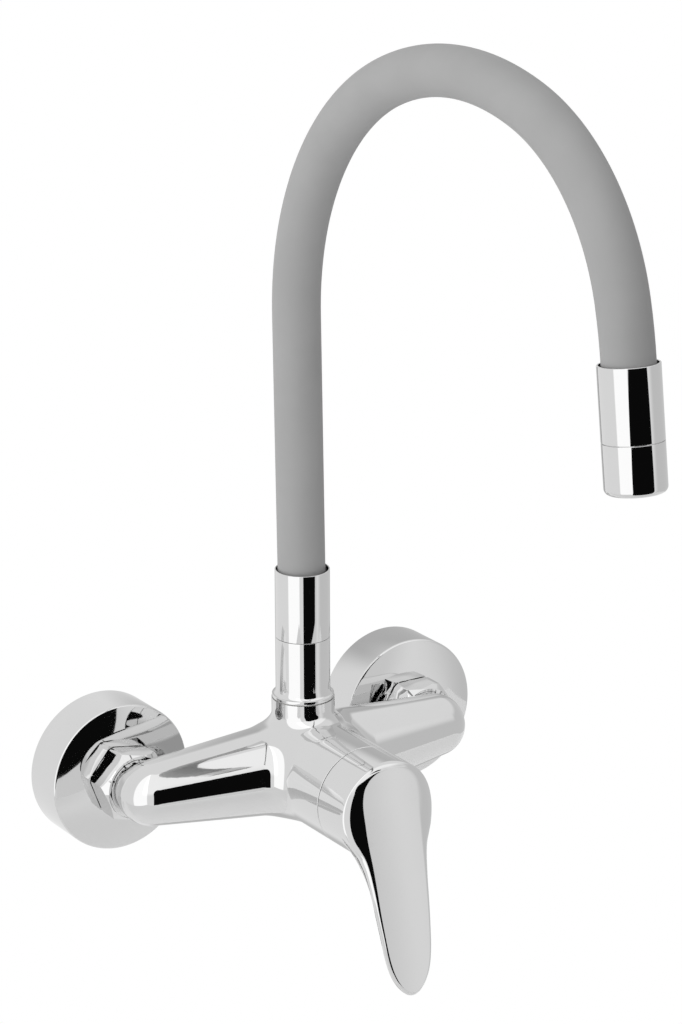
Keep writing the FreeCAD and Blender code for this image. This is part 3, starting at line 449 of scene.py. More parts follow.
def soften(piece, width, segments=2, angle=28):
    """Rounds the hard edges of a machined piece. The cuts leave stray points on the union nuts, so
    that their edges are rounded less, and not quite alike in each run."""
    bpy.ops.object.select_all(action="DESELECT")
    bpy.context.view_layer.objects.active = piece
    piece.select_set(True)
    edge = piece.modifiers.new("soften", "BEVEL")
    edge.width = width * mm
    edge.segments = segments
    edge.limit_method = "ANGLE"
    edge.angle_limit = math.radians(angle)
    edge.harden_normals = True
    bpy.ops.object.modifier_apply(modifier=edge.name)


def hexagon_blank(name, flats, low, high, bevel_low, bevel_high, x, turn):
    """Hexagon bar pointing outwards, its corners turned off at 45 degrees on a lathe. The turn, in
    degrees, is where its first corner stands, counted from the right towards the top."""
    corner = flats / math.sqrt(3)
    bpy.ops.object.select_all(action="DESELECT")
    bpy.ops.mesh.primitive_cylinder_add(vertices=6, radius=corner * mm, depth=(high - low) * mm,
                                        location=(x * mm, -(low + high) / 2 * mm, 0),
                                        rotation=(math.pi / 2, math.radians(30 - turn), 0))
    bar = bpy.context.object
    bpy.ops.object.transform_apply(location=True, rotation=True, scale=True)
    wide = corner + LATHE_SPARE
    profile = [(0, low), (corner - bevel_low, low), (wide, low + bevel_low + LATHE_SPARE),
               (wide, high - bevel_high - LATHE_SPARE), (corner - bevel_high, high), (0, high)]
    envelope = turned(name + "_lathe", profile, chrome(), centre=(x, 0, 0), steps=180)
    return carve(bar, envelope, "INTERSECT")


def union(name, x):
    root_r = STUB_R - THREAD_DEPTH
    profile = [(STUB_BORE_R, STUB_BACK), (root_r, STUB_BACK)]
    for k in range(int(THREAD_LENGTH / THREAD_PITCH)):
        base = STUB_BACK + THREAD_LEAD + THREAD_PITCH * k
        profile += [(root_r, base)] + [(STUB_R, base + crest) for crest in THREAD_CREST]
    profile += [(STUB_R, 0.0), (STUB_R, STUB_FRONT), (STUB_BORE_R, STUB_FRONT)]
    stub = turned(name + "_stub", profile, chrome(), centre=(x, 0, -STUB_DROP), steps=64)
    # the crank is a short tube whose front end is widened and whose back end is let down
    bpy.ops.object.select_all(action="DESELECT")
    bpy.ops.mesh.primitive_cylinder_add(vertices=64, radius=STUB_R * mm, depth=CRANK_LENGTH * mm,
                                        end_fill_type="NOTHING", rotation=(math.pi / 2, 0, 0),
                                        location=(x * mm, -CRANK_MIDDLE * mm, 0))
    crank = bpy.context.object
    bpy.ops.object.transform_apply(location=True, rotation=True, scale=True)
    for vertex in crank.data.vertices:
        if vertex.co.y < -CRANK_MIDDLE * mm:
            vertex.co.x = x * mm + (vertex.co.x - x * mm) * BARREL_R / STUB_R
            vertex.co.z *= BARREL_R / STUB_R
        else:
            vertex.co.z -= STUB_DROP * mm
    profile = [(UNION_BORE_R, BARREL_BACK), (BARREL_R, BARREL_BACK), (BARREL_R, BARREL_FRONT),
               (UNION_BORE_R, BARREL_FRONT)]
    barrel = turned(name + "_barrel", profile, chrome(), centre=(x, 0, 0), steps=96)
    collar = hexagon_blank(name + "_collar", UNION_FLATS, *UNION_HEX, HEX_BEVEL, HEX_BEVEL, x, 0)
    soften(collar, MACHINED_EDGE)
    spigot_back = BARREL_FRONT - 0.1
    profile = [(UNION_BORE_R, spigot_back), (UNION_THREAD_R, spigot_back), (UNION_THREAD_R, UNION_END),
               (UNION_BORE_R, UNION_END)]
    spigot = turned(name + "_spigot", profile, chrome(), centre=(x, 0, 0), steps=96)
    bpy.ops.object.select_all(action="DESELECT")
    for part in (stub, crank, barrel, spigot, collar):
        part.select_set(True)
    bpy.context.view_layer.objects.active = collar
    bpy.ops.object.join()
    piece = finish_mesh(collar, name, chrome())
    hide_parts(name)
    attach(piece, "body")


union("left_s_union", -INLET_X)
union("right_s_union", INLET_X)


# Union nuts
# Plated brass hexagons with a turned front: a bright bevel and a shallow recess round the body's
# neck. Screwed on the unions, they pull the body against the gaskets.

NUT_FLATS = 29.0
NUT_BACK = 22.8
NUT_FRONT = 35.05
NUT_RING_R = 14.1
NUT_RECESS_R = 13.9
NUT_WEB = (33.1, 34.25)
NUT_THREAD_R = 13.3
NUT_HOLE_R = 10.3


def union_nut(name, x, turn):
    bevel = NUT_FLATS / math.sqrt(3) - NUT_RING_R
    nut = hexagon_blank(name, NUT_FLATS, NUT_BACK, NUT_FRONT, HEX_BEVEL, bevel, x, turn)
    web_back, web_front = NUT_WEB
    profile = [(0, NUT_BACK - 1), (NUT_THREAD_R, NUT_BACK - 1), (NUT_THREAD_R, web_back),
               (NUT_HOLE_R, web_back), (NUT_HOLE_R, web_front), (NUT_RECESS_R, web_front),
               (NUT_RECESS_R, NUT_FRONT + 1), (0, NUT_FRONT + 1)]
    bore = turned(name + "_bore", profile, chrome(), centre=(x, 0, 0), steps=96)
    carve(nut, bore, "DIFFERENCE")
    soften(nut, MACHINED_EDGE)
    finish_mesh(nut, name, chrome())
    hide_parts(name)
    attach(nut, "body")


union_nut("left_union_nut", -INLET_X, 50.5)
union_nut("right_union_nut", INLET_X, 0)


# Valve body
# One brass casting, ground and plated: a round cartridge housing, two tapered arms that end in
# rounded elbows, and the boss that carries the spout. Every joint has a generous fillet.

AXIS_OUT = 49.7
ARM_CENTRE_R = 21.5
ELBOW_R = 14.15
ELBOW_X = 73.1
ELBOW_OUT = 43.4
HOUSING_R = 22.5
HOUSING_FRONT = 96.3
HOUSING_EDGE = 0.35
HOUSING_MOUTH_R = 19.6
HOUSING_MOUTH_END = 76
HOUSING_LIP = 0.5
BOSS_R = 13.75
BOSS_TOP = 31.4
ARM_FILLET = 7.5
BOSS_FILLET = 4.5
NECK_R = 12.4
NECK_BACK = 34.55
NECK_FILLET = 1.2
SPOT_FACE_R = 19.6
NUT_PLAY = 0.3
NECK_PLAY = 0.2
LOCK_SCREW_DEG = 187.0
LOCK_SCREW_Z = 26.15
LOCK_SCREW_R = 2.6
LOCK_SCREW_REACH = (8, 24)
VOXELS = (1.6, 0.8)
SMOOTHING = (3, 2, 0)
NUDGE = 0.01


def melt(first, second, fillet):
    """Union of two distance fields with a round fillet where they meet."""
    inner = np.hypot(np.maximum(fillet - first, 0), np.maximum(fillet - second, 0))
    return np.maximum(fillet, np.minimum(first, second)) - inner


def body_field(x, y, z):
    """Distance in mm from the outside of the casting; negative inside."""
    out = -y
    slope = math.hypot(ELBOW_X, ELBOW_OUT - AXIS_OUT)
    along_x, along_out = ELBOW_X / slope, (ELBOW_OUT - AXIS_OUT) / slope
    run = np.abs(x) * along_x + (out - AXIS_OUT) * along_out
    side = np.hypot(-np.abs(x) * along_out + (out - AXIS_OUT) * along_x, z)
    taper = math.acos(ELBOW_R / math.hypot(ARM_CENTRE_R, slope)) - math.atan2(slope, ARM_CENTRE_R)
    cone = (run - slope) * math.sin(taper) + side * math.cos(taper) - ELBOW_R
    past_run = (run - slope - ELBOW_R * math.sin(taper)) * math.cos(taper)
    past = past_run - (side - ELBOW_R * math.cos(taper)) * math.sin(taper)
    ball = np.hypot(run - slope, side) - ELBOW_R
    arms = np.where(past > 0, ball, cone)
    housing = np.hypot(np.hypot(x, z), np.minimum(out - AXIS_OUT, 0)) - HOUSING_R
    boss = np.hypot(x, out - AXIS_OUT) - BOSS_R
    boss = np.maximum(boss, -z)
    neck = np.maximum(np.hypot(np.abs(x) - INLET_X, z) - NECK_R, out - ELBOW_OUT)
    return melt(melt(melt(arms, neck, NECK_FILLET), housing, ARM_FILLET), boss, BOSS_FILLET)


def settle(piece, field, sizes):
    """Remeshes a rough form and lets its points settle on the surface where the field is zero. The
    points are smoothed between the rounds, ever less, and never after the last."""
    bpy.ops.object.select_all(action="DESELECT")
    bpy.context.view_layer.objects.active = piece
    piece.select_set(True)
    for size in sizes:
        grid = piece.modifiers.new("grid", "REMESH")
        grid.mode = "VOXEL"
        grid.voxel_size = size * mm
        bpy.ops.object.modifier_apply(modifier=grid.name)
        for relax in SMOOTHING:
            points = np.empty(len(piece.data.vertices) * 3)
            piece.data.vertices.foreach_get("co", points)
            points = points.reshape(-1, 3) * 1000
            for _ in range(5):
                value = field(*points.T)
                slope = np.empty_like(points)
                for axis in range(3):
                    ahead, back = points.copy(), points.copy()
                    ahead[:, axis] += NUDGE
                    back[:, axis] -= NUDGE
                    slope[:, axis] = (field(*ahead.T) - field(*back.T)) / (2 * NUDGE)
                steep = np.maximum((slope ** 2).sum(axis=1), 0.05)
                points -= slope * np.clip(value / steep, -2, 2)[:, None]
            piece.data.vertices.foreach_set("co", (points * mm).ravel())
            piece.data.update()
            if relax:
                bpy.ops.object.mode_set(mode="EDIT")
                bpy.ops.mesh.select_all(action="SELECT")
                bpy.ops.mesh.vertices_smooth(factor=0.5, repeat=relax)
                bpy.ops.object.mode_set(mode="OBJECT")
    return piece


def slice_off(piece, point, normal):
    """Cuts away what lies beyond a plane and closes the cut."""
    bpy.ops.object.select_all(action="DESELECT")
    bpy.context.view_layer.objects.active = piece
    piece.select_set(True)
    bpy.ops.object.mode_set(mode="EDIT")
    bpy.ops.mesh.select_all(action="SELECT")
    bpy.ops.mesh.bisect(plane_co=Vector(point) * mm, plane_no=normal, use_fill=True,
                        clear_outer=True)
    bpy.ops.object.mode_set(mode="OBJECT")


def rough_bar(start, end, start_r, end_r):
    """Tapered bar between two points in mm, as raw stock for a cast form."""
    start, end = Vector(start) * mm, Vector(end) * mm
    turn = (end - start).to_track_quat("Z", "Y").to_euler()
    bpy.ops.mesh.primitive_cone_add(vertices=48, radius1=start_r * mm, radius2=end_r * mm,
                                    depth=(end - start).length, location=(start + end) / 2,
                                    rotation=turn)
    return bpy.context.object


# rough stock, a little longer than the finished form wherever it is cut back later
bpy.ops.object.select_all(action="DESELECT")
stock = [rough_bar((0, -AXIS_OUT + 20, 0), (0, -HOUSING_FRONT - 4, 0), HOUSING_R, HOUSING_R),
         rough_bar((0, -AXIS_OUT, 0), (0, -AXIS_OUT, BOSS_TOP + 4), BOSS_R, BOSS_R)]
for side in (-1, 1):
    arm_end, inlet = (side * (ELBOW_X + 8), -ELBOW_OUT, 0), side * INLET_X
    stock.append(rough_bar((0, -AXIS_OUT, 0), arm_end, ARM_CENTRE_R, ELBOW_R))
    stock.append(rough_bar((inlet, -ELBOW_OUT, 0), (inlet, -NECK_BACK + 6, 0), NECK_R, NECK_R))
for bar in stock:
    bar.select_set(True)
bpy.context.view_layer.objects.active = stock[0]
bpy.ops.object.join()
bpy.ops.object.transform_apply(location=True, rotation=True, scale=True)
casting = settle(bpy.context.object, body_field, VOXELS)
ring_out = HOUSING_FRONT - HOUSING_EDGE
slice_off(casting, (0, 0, BOSS_TOP), (0, 0, 1))
slice_off(casting, (0, -ring_out, 0), (0, -1, 0))
profile = rounded((HOUSING_MOUTH_R, ring_out - HOUSING_LIP), (HOUSING_R, ring_out - HOUSING_LIP),
                  (HOUSING_R, HOUSING_FRONT, HOUSING_EDGE), (HOUSING_MOUTH_R, HOUSING_FRONT))
front = turned("housing_front", profile, chrome(), steps=160)
profile = [(0, HOUSING_MOUTH_END), (HOUSING_MOUTH_R, HOUSING_MOUTH_END),
           (HOUSING_MOUTH_R, HOUSING_FRONT + 2), (0, HOUSING_FRONT + 2)]
carve(casting, turned("housing_mouth", profile, chrome(), steps=128), "DIFFERENCE")
screw_angle = math.radians(LOCK_SCREW_DEG)
screw_way = Vector((math.cos(screw_angle), math.sin(screw_angle), 0))
screw_root = Vector((0, -AXIS_OUT, LOCK_SCREW_Z))
screw_ends = (screw_root + screw_way * reach for reach in LOCK_SCREW_REACH)
carve(casting, rough_bar(*screw_ends, LOCK_SCREW_R, LOCK_SCREW_R), "DIFFERENCE")
# room for the nuts, and the necks cut to length
profile = [(0, 0), (SPOT_FACE_R, 0), (SPOT_FACE_R, NUT_FRONT + NUT_PLAY),
           (NECK_R + NECK_PLAY, NUT_FRONT + NUT_PLAY), (NECK_R + NECK_PLAY, NECK_BACK), (0, NECK_BACK)]
for side in (-1, 1):
    spot = turned("spot_face", profile, chrome(), centre=(side * INLET_X, 0, 0), steps=96)
    carve(casting, spot, "DIFFERENCE")
bpy.ops.object.select_all(action="DESELECT")
front.select_set(True)
casting.select_set(True)
bpy.context.view_layer.objects.active = casting
bpy.ops.object.join()
casting = finish_mesh(casting, "valve_body", chrome())
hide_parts("valve_body")
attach(casting, "body")


# Lever
# Zinc casting, ground and plated. A round skirt passes over the cartridge, its rim runs down into
# the paddle, and hollow flanks rise from the rim to a smooth, faintly crowned panel.

SKIRT_R = 22.5
SKIRT_BACK = 96.8
SKIRT_STEP = 0.5
SKIRT_INNER_R = 21.5
SKIRT_LIP = 0.6
SKIRT_FLOOR = 110.0
LEVER_HUB_R = 9.0
LEVER_HUB_PLAY = 0.1
LEVER_HUB_BACK = 105.2
LEVER_FILLET = 7
LEVER_POINTS = 240
HEAD_ANGLES = range(90, -11, -10)
LEVER_SHOULDER = 8.4
PADDLE_SIDE = [(20.87, -LEVER_SHOULDER), (18.75, -12.4), (16.6, -16.6), (15.4, -20.8), (14.3, -28),
               (13.2, -40), (12.2, -50), (11.1, -60), (9.8, -66), (8, -70.2), (5.8, -73.5), (3, -76.1)]
PADDLE_TIP = -77.0
PADDLE_EDGE = 0.6
PADDLE_CORNER = 0.18
PANEL_CROWN = 0.3
PANEL_HALF_WIDTH = 13.5
# Places along the outline are counted in mm from the shoulders of the head: below 0 up to its top,
# and above 0 down to the tip. How wide the hollow flank is, and how far out its rim lies:
FLANK_WIDTHS = [(-44, 2.9), (-37, 2.7), (-32, 2.3), (-29, 2.2), (-26.3, 3.0), (-20.4, 6.2), (-14, 7.9),
                (-8.6, 8.7), (-4, 8.6), (0, 7.8), (4.4, 5.5), (9.4, 2.6), (13, 1.9), (20, 1.4),
                (28, 0.9), (36, 0.6), (50, 0.5), (75, 0.5)]
RIM_OUTS = [(-44, 117.4), (-38, 117.3), (-31.4, 116.8), (-24, 116.1), (-16, 115.7), (-8.6, 116),
            (-4, 117), (0, 118.2), (4.4, 119.9), (9.4, 122), (13, 123.4), (23, 126.1), (33, 128.5),
            (43, 131), (53, 133.2), (63, 135.4), (75, 137)]
# radius of the rim, and how many degrees round it runs before the flank takes over
RIM_ROUNDS = [(-44, 2.4), (-37, 2.2), (-31, 1.3), (-27, 0.6), (-20, 0.45), (75, 0.45)]
RIM_SWEEPS = [(-44, 84), (-37, 80), (-30, 62), (-25, 52), (75, 52)]
RIM_STEPS = (0, 0.2, 0.4, 0.6, 0.8, 1)
# how the flank falls, from the panel's edge (0) to the rim (1)
FLANK_FALL = [(0, 0), (0.2, 0.07), (0.4, 0.17), (0.6, 0.33), (0.82, 0.68), (1, 1)]
FLANK_STEPS = (0.08, 0.17, 0.26, 0.35, 0.44, 0.53, 0.62, 0.71, 0.8, 0.88, 0.95, 1)
# the two faces of the lever over its height
PANEL_OUTS = [(-77, 137.5), (-70, 136.2), (-60, 134.1), (-50, 132), (-40, 129.7), (-30, 127.4),
              (-20, 124.9), (-10, 122.1), (0, 119.8), (12, 118.3), (23, 117.2)]
BACK_OUTS = [(-77, 134.4), (-62, 131.5), (-45, 127.8), (-30, 123.7), (-24, 121), (-18, 117.5),
             (-LEVER_SHOULDER, 112.6), (23, 112.6)]


def flow(table, at):
    """Value of a smooth curve through a table of (place, value) rows."""
    places, values = np.array(table, float).T
    slopes = np.gradient(values, places)
    k = np.clip(np.searchsorted(places, at) - 1, 0, len(places) - 2)
    span = places[k + 1] - places[k]
    t = np.clip((at - places[k]) / span, 0, 1)
    return ((1 + 2 * t) * (1 - t) ** 2 * values[k] + t * (1 - t) ** 2 * span * slopes[k]
            + t * t * (3 - 2 * t) * values[k + 1] - t * t * (1 - t) * span * slopes[k + 1])


def lever_outline(count):
    """Points, outward normals and places of the front outline, clockwise from the top of the head."""
    head = [math.radians(angle) for angle in HEAD_ANGLES]
    half = [(SKIRT_R * math.cos(angle), SKIRT_R * math.sin(angle)) for angle in head]
    half = np.array(half + PADDLE_SIDE)
    loop = np.vstack([half, [(0, PADDLE_TIP)], half[:0:-1] * (-1, 1)])
    lead = 4
    loop = np.vstack([loop[-lead:], loop, loop[:lead + 1]])
    run = np.concatenate([[0], np.cumsum(np.hypot(*np.diff(loop, axis=0).T))])
    start, shoulder, tip, end = (run[lead + k] for k in (0, len(head), len(half), 2 * len(half)))
    at = start + (end - start) * np.arange(count) / count
    curves = [np.column_stack([run, loop[:, axis]]) for axis in (0, 1)]
    points = np.array([flow(curve, at) for curve in curves]).T
    ahead = np.array([flow(curve, at + NUDGE) for curve in curves]).T - points
    normals = np.column_stack([-ahead[:, 1], ahead[:, 0]]) / np.hypot(*ahead.T)[:, None]
    return points, normals, (tip - shoulder) - np.abs(at - tip)


def evened(values):
    """Takes the last unevenness out of values that run once round the outline."""
    for _ in range(40):
        values = (np.roll(values, 1, axis=0) + 2 * values + np.roll(values, -1, axis=0)) / 4
    return values


def panel_out(x, z):
    """How far out the panel lies."""
    return flow(PANEL_OUTS, z) - PANEL_CROWN * (x / PANEL_HALF_WIDTH) ** 2


def lever_rows(count):
    """Rows of points over the outside of the lever, from the skirt's mouth to the panel's middle."""
    points, normals, place = lever_outline(count)
    down = np.clip(place / place.max(), 0, 1)
    turn = np.radians(-np.degrees(np.arcsin(LEVER_SHOULDER / SKIRT_R)) * (1 - down) - 90 * down)
    side = np.where(points[:, 0] < 0, -1, 1)
    foot = np.column_stack([side * SKIRT_R * np.cos(turn), SKIRT_R * np.sin(turn)])
    foot = np.where((place <= 0)[:, None], points, foot)
    reach = np.hypot(*(points - foot).T)
    fillet = LEVER_FILLET * (1 - np.exp(-reach / LEVER_FILLET))
    bend = 0.9 * fillet

    def back_out(along):
        share = along / np.maximum(reach, 1e-6)
        return flow(BACK_OUTS, foot[:, 1] + (points[:, 1] - foot[:, 1]) * share)

    # up the skirt, round the fillet and along the back of the paddle, evenly spread
    trace = [(0 * reach, np.full(count, SKIRT_BACK + lift)) for lift in (0, SKIRT_STEP)]
    corner = flow(BACK_OUTS, foot[:, 1])
    far = back_out(bend)
    for k in range(9):
        t = k / 8
        round_out = (1 - t) ** 2 * (corner - fillet) + 2 * t * (1 - t) * corner + t * t * far
        trace.append((bend * t * t, round_out))
    last = np.maximum(reach - PADDLE_EDGE, bend)
    for k in range(1, 13):
        along = bend + (last - bend) * k / 12
        trace.append((along, back_out(along)))
    across, out = (np.array([step[k] for step in trace]) for k in (0, 1))
    strides = np.hypot(np.diff(across, axis=0), np.diff(out, axis=0))
    length = np.concatenate([np.zeros((1, count)), np.cumsum(strides, axis=0)])
    way = (points - foot) / np.maximum(reach, 1e-6)[:, None]
    rows = []
    for level in np.linspace(0, 1, 44):
        here = [np.interp(level * length[-1, j], length[:, j], across[:, j]) for j in range(count)]
        high = [np.interp(level * length[-1, j], length[:, j], out[:, j]) for j in range(count)]
        rows.append(np.column_stack([foot + way * np.array(here)[:, None], high]))
    back = out[-1]
    rim = evened(flow(RIM_OUTS, place))
    # back edge, side and rim
    for inset, lift in ((PADDLE_CORNER, PADDLE_CORNER), (0, PADDLE_EDGE)):
        edge = points - normals * np.minimum(inset, reach)[:, None]
        rows.append(np.column_stack([edge, back + lift]))
    rows.append(np.column_stack([points, (back + rim) / 2]))
    radius = evened(flow(RIM_ROUNDS, place))
    sweep = np.radians(evened(flow(RIM_SWEEPS, place)))
    for t in RIM_STEPS:
        lip = points - normals * (radius * (1 - np.cos(sweep * t)))[:, None]
        lip_out = rim - radius * (1 - np.sin(sweep * t))
        rows.append(np.column_stack([lip, lip_out]))
    # flank, from the rim up to the edge of the panel
    width = evened(flow(FLANK_WIDTHS, place))
    edge_in = evened(points - normals * width[:, None])
    top = panel_out(*edge_in.T)
    for t in FLANK_STEPS:
        climb = 1 - flow(FLANK_FALL, 1 - t)
        rows.append(np.column_stack([lip + (edge_in - lip) * t, lip_out + (top - lip_out) * climb]))
    # panel, down to a line along its middle
    spine = np.column_stack([np.zeros(count), np.clip(edge_in[:, 1] * 0.96, PADDLE_TIP + 7, 10)])
    for t in np.linspace(0.06, 1, 14):
        spot = edge_in + (spine - edge_in) * t
        rows.append(np.column_stack([spot, panel_out(*spot.T)]))
    return rows


def skinned(name, rows):
    """Closed skin over rows of (x, z, out) points in mm; each row runs once round the piece."""
    count = len(rows[0])
    bpy.ops.object.select_all(action="DESELECT")
    bpy.ops.mesh.primitive_grid_add(x_subdivisions=count, y_subdivisions=len(rows) - 1)
    skin = bpy.context.object
    around = np.vstack([np.vstack([row, row[:1]]) for row in rows])
    places = np.column_stack([around[:, 0], -around[:, 2], around[:, 1]]) * mm
    skin.data.vertices.foreach_set("co", places.ravel())
    bpy.ops.object.mode_set(mode="EDIT")
    bpy.ops.mesh.select_all(action="SELECT")
    bpy.ops.mesh.remove_doubles(threshold=2e-6)
    bpy.ops.mesh.select_all(action="DESELECT")
    bpy.ops.mesh.select_non_manifold()
    bpy.ops.mesh.fill()
    bpy.ops.mesh.select_all(action="SELECT")
    bpy.ops.mesh.normals_make_consistent(inside=False)
    bpy.ops.object.mode_set(mode="OBJECT")
    skin.name = name
    return skin


lever = skinned("lever", lever_rows(LEVER_POINTS))
profile = [(LEVER_HUB_R, SKIRT_BACK - 2), (SKIRT_INNER_R + SKIRT_LIP, SKIRT_BACK - 2),
           (SKIRT_INNER_R + SKIRT_LIP, SKIRT_BACK), (SKIRT_INNER_R, SKIRT_BACK + SKIRT_LIP),
           (SKIRT_INNER_R, SKIRT_FLOOR), (LEVER_HUB_R, SKIRT_FLOOR)]
carve(lever, turned("lever_hollow", profile, chrome(), steps=128), "DIFFERENCE")
hub_r = LEVER_HUB_R + LEVER_HUB_PLAY
profile = [(0, SKIRT_BACK - 2), (hub_r, SKIRT_BACK - 2), (hub_r, LEVER_HUB_BACK), (0, LEVER_HUB_BACK)]
carve(lever, turned("lever_mouth", profile, chrome(), steps=128), "DIFFERENCE")
lever = finish_mesh(lever, "lever", chrome())
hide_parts("lever")
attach(lever, "handle")


# Spout base and sleeve
# Turned brass, plated. The base swivels in the body's boss: a low flange, a hollow shoulder and a
# tube. A sleeve is screwed on it, with a hairline between them and a thin open rim at the top.

SPOUT_CENTRE = (0, -AXIS_OUT, 0)
SPOUT_TUBE_R = 11.9
SPOUT_FLANGE_R = 13.5
SPOUT_BORE_R = 6
SPOUT_JOURNAL_R = 10
SPOUT_FOOT = 20.9
FLANGE_GAP = 0.3
FLANGE_THICK = 1.6
SHOULDER_TOP = 36.6
SHOULDER_INSET = 0.35
SLEEVE_SEAM = 59.4
SLEEVE_TOP = 89.9
SLEEVE_BORE_R = 11.35
SLEEVE_THREAD_R = 8.65
SPOUT_THREAD_R = 8.6
SPOUT_THREAD_TOP = 61.4
SEAM_GAP = 0.15
SEAM_EDGE = 0.12


def hollow_shoulder(low, high, wide, narrow):
    """Points of a quarter ellipse that sweeps in from a flange to the tube."""
    angles = (math.pi / 2 * k / 10 for k in range(11))
    return [(narrow + (wide - narrow) * (1 - math.sin(angle)), low + (high - low) * (1 - math.cos(angle)))
            for angle in angles]


flange_low = BOSS_TOP + FLANGE_GAP
flange_top = flange_low + FLANGE_THICK
seam_low = SLEEVE_SEAM - SEAM_GAP
shoulder = hollow_shoulder(flange_top, SHOULDER_TOP, SPOUT_FLANGE_R - SHOULDER_INSET, SPOUT_TUBE_R)
profile = rounded((SPOUT_BORE_R, SPOUT_FOOT), (SPOUT_JOURNAL_R, SPOUT_FOOT, 0.4),
                  (SPOUT_JOURNAL_R, flange_low), (SPOUT_FLANGE_R, flange_low, 0.25),
                  (SPOUT_FLANGE_R, flange_top, 0.3), *shoulder, (SPOUT_TUBE_R, seam_low, SEAM_EDGE),
                  (SPOUT_THREAD_R, seam_low), (SPOUT_THREAD_R, SPOUT_THREAD_TOP),
                  (SPOUT_BORE_R, SPOUT_THREAD_TOP))
base = turned("spout_base", profile, chrome(), centre=SPOUT_CENTRE, outwards=False)
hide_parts("spout_base")
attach(base, "spout")

profile = rounded((SLEEVE_THREAD_R, SLEEVE_SEAM), (SPOUT_TUBE_R, SLEEVE_SEAM, SEAM_EDGE),
                  (SPOUT_TUBE_R, SLEEVE_TOP, 0.25), (SLEEVE_BORE_R, SLEEVE_TOP, 0.15),
                  (SLEEVE_BORE_R, SPOUT_THREAD_TOP), (SLEEVE_THREAD_R, SPOUT_THREAD_TOP))
sleeve = turned("hose_sleeve", profile, chrome(), centre=SPOUT_CENTRE, outwards=False)
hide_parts("hose_sleeve")
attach(sleeve, "spout")


# Hose
# A thick silicone tube over a steel gooseneck, with the water hose inside that. All three
# follow one line: straight up out of the sleeve, over in a high arch and down to the outlet.

HOSE_R = 10.3
HOSE_BORE_R = 8.3
GOOSENECK_R = 8.0
GOOSENECK_BORE_R = 6.0
WATER_HOSE_R = 5.7
WATER_HOSE_BORE_R = 4.0
HOSE_ROOT_Z = 64.0
HOSE_LEAN = 1.34
RISER = 137.8
RISER_STEPS = 12
# radius and degrees of each bend, on the way from the riser to the outlet
BENDS = ((117.3, 67.55), (136.4, 40.66), (88.6, 58.43), (179.2, 7.16))
BEND_STEP = 1.6
HOSE_IN_SLEEVE = 14.0
SPIGOT = 9.3


def silicone():
    """Satin grey silicone: a soft sheen, faint mottling and a fine dusty skin."""
    finish = bpy.data.materials.new("grey_silicone")
    sheet = NodeSheet(finish)
    place = sheet.part(sheet.node("ShaderNodeTexCoord"), "Object")
    mottle = sheet.node("ShaderNodeTexNoise", None, Vector=place, Scale=60.0, Detail=3.0)
    skin = sheet.node("ShaderNodeTexNoise", None, Vector=place, Scale=2600.0, Detail=2.0)
    colour = sheet.node("ShaderNodeValToRGB", {"stops": [(0.3, 0.372), (0.7, 0.392)]}, mottle)
    bump = sheet.node("ShaderNodeBump", None, Strength=0.08, Distance=0.0001, Height=skin)
    rubber = sheet.node("ShaderNodeBsdfPrincipled", None, Base_Color=colour,
                        Roughness=0.52 + 0.08 * mottle, Normal=bump)
    rubber.output.node.inputs["Specular IOR Level"].default_value = 0.35
    sheet.node("ShaderNodeOutputMaterial", None, rubber)
    return finish


def steel_strip():
    """Bright wound steel, faintly uneven."""
    finish = bpy.data.materials.new("wound_steel")
    sheet = NodeSheet(finish)
    place = sheet.part(sheet.node("ShaderNodeTexCoord"), "Object")
    noise = sheet.node("ShaderNodeTexNoise", None, Vector=place, Scale=700.0, Detail=3.0)
    bump = sheet.node("ShaderNodeBump", None, Strength=0.3, Distance=0.0003, Height=noise)
    metal = sheet.node("ShaderNodeBsdfPrincipled", None, Base_Color=(0.5, 0.5, 0.5, 1), Metallic=1.0,
                       Roughness=0.25 + 0.2 * noise, Normal=bump)
    sheet.node("ShaderNodeOutputMaterial", None, metal)
    return finish


def clear_hose():
    """Milky wall of a drinking water hose."""
    finish = bpy.data.materials.new("milky_hose")
    sheet = NodeSheet(finish)
    place = sheet.part(sheet.node("ShaderNodeTexCoord"), "Object")
    noise = sheet.node("ShaderNodeTexNoise", None, Vector=place, Scale=300.0, Detail=2.0)
    colour = sheet.node("ShaderNodeValToRGB", {"stops": [(0.3, 0.7), (0.7, 0.78)]}, noise)
    skin = sheet.node("ShaderNodeBsdfPrincipled", None, Base_Color=colour,
                      Roughness=0.3 + 0.1 * noise)
    sheet.node("ShaderNodeOutputMaterial", None, skin)
    return finish


def hose_ring(place, heading, radius, count):
    """Ring of edges round a point of the hose, square to its heading."""
    turn = heading.to_track_quat("Z", "Y").to_euler()
    bpy.ops.mesh.primitive_circle_add(vertices=count, radius=radius * mm, location=place * mm,
                                      rotation=turn)


def bent(arm, angle):
    """An arm in the plane of the hose, turned by a bend."""
    return Vector((0, arm.y * math.cos(angle) - arm.z * math.sin(angle),
                   arm.y * math.sin(angle) + arm.z * math.cos(angle)))


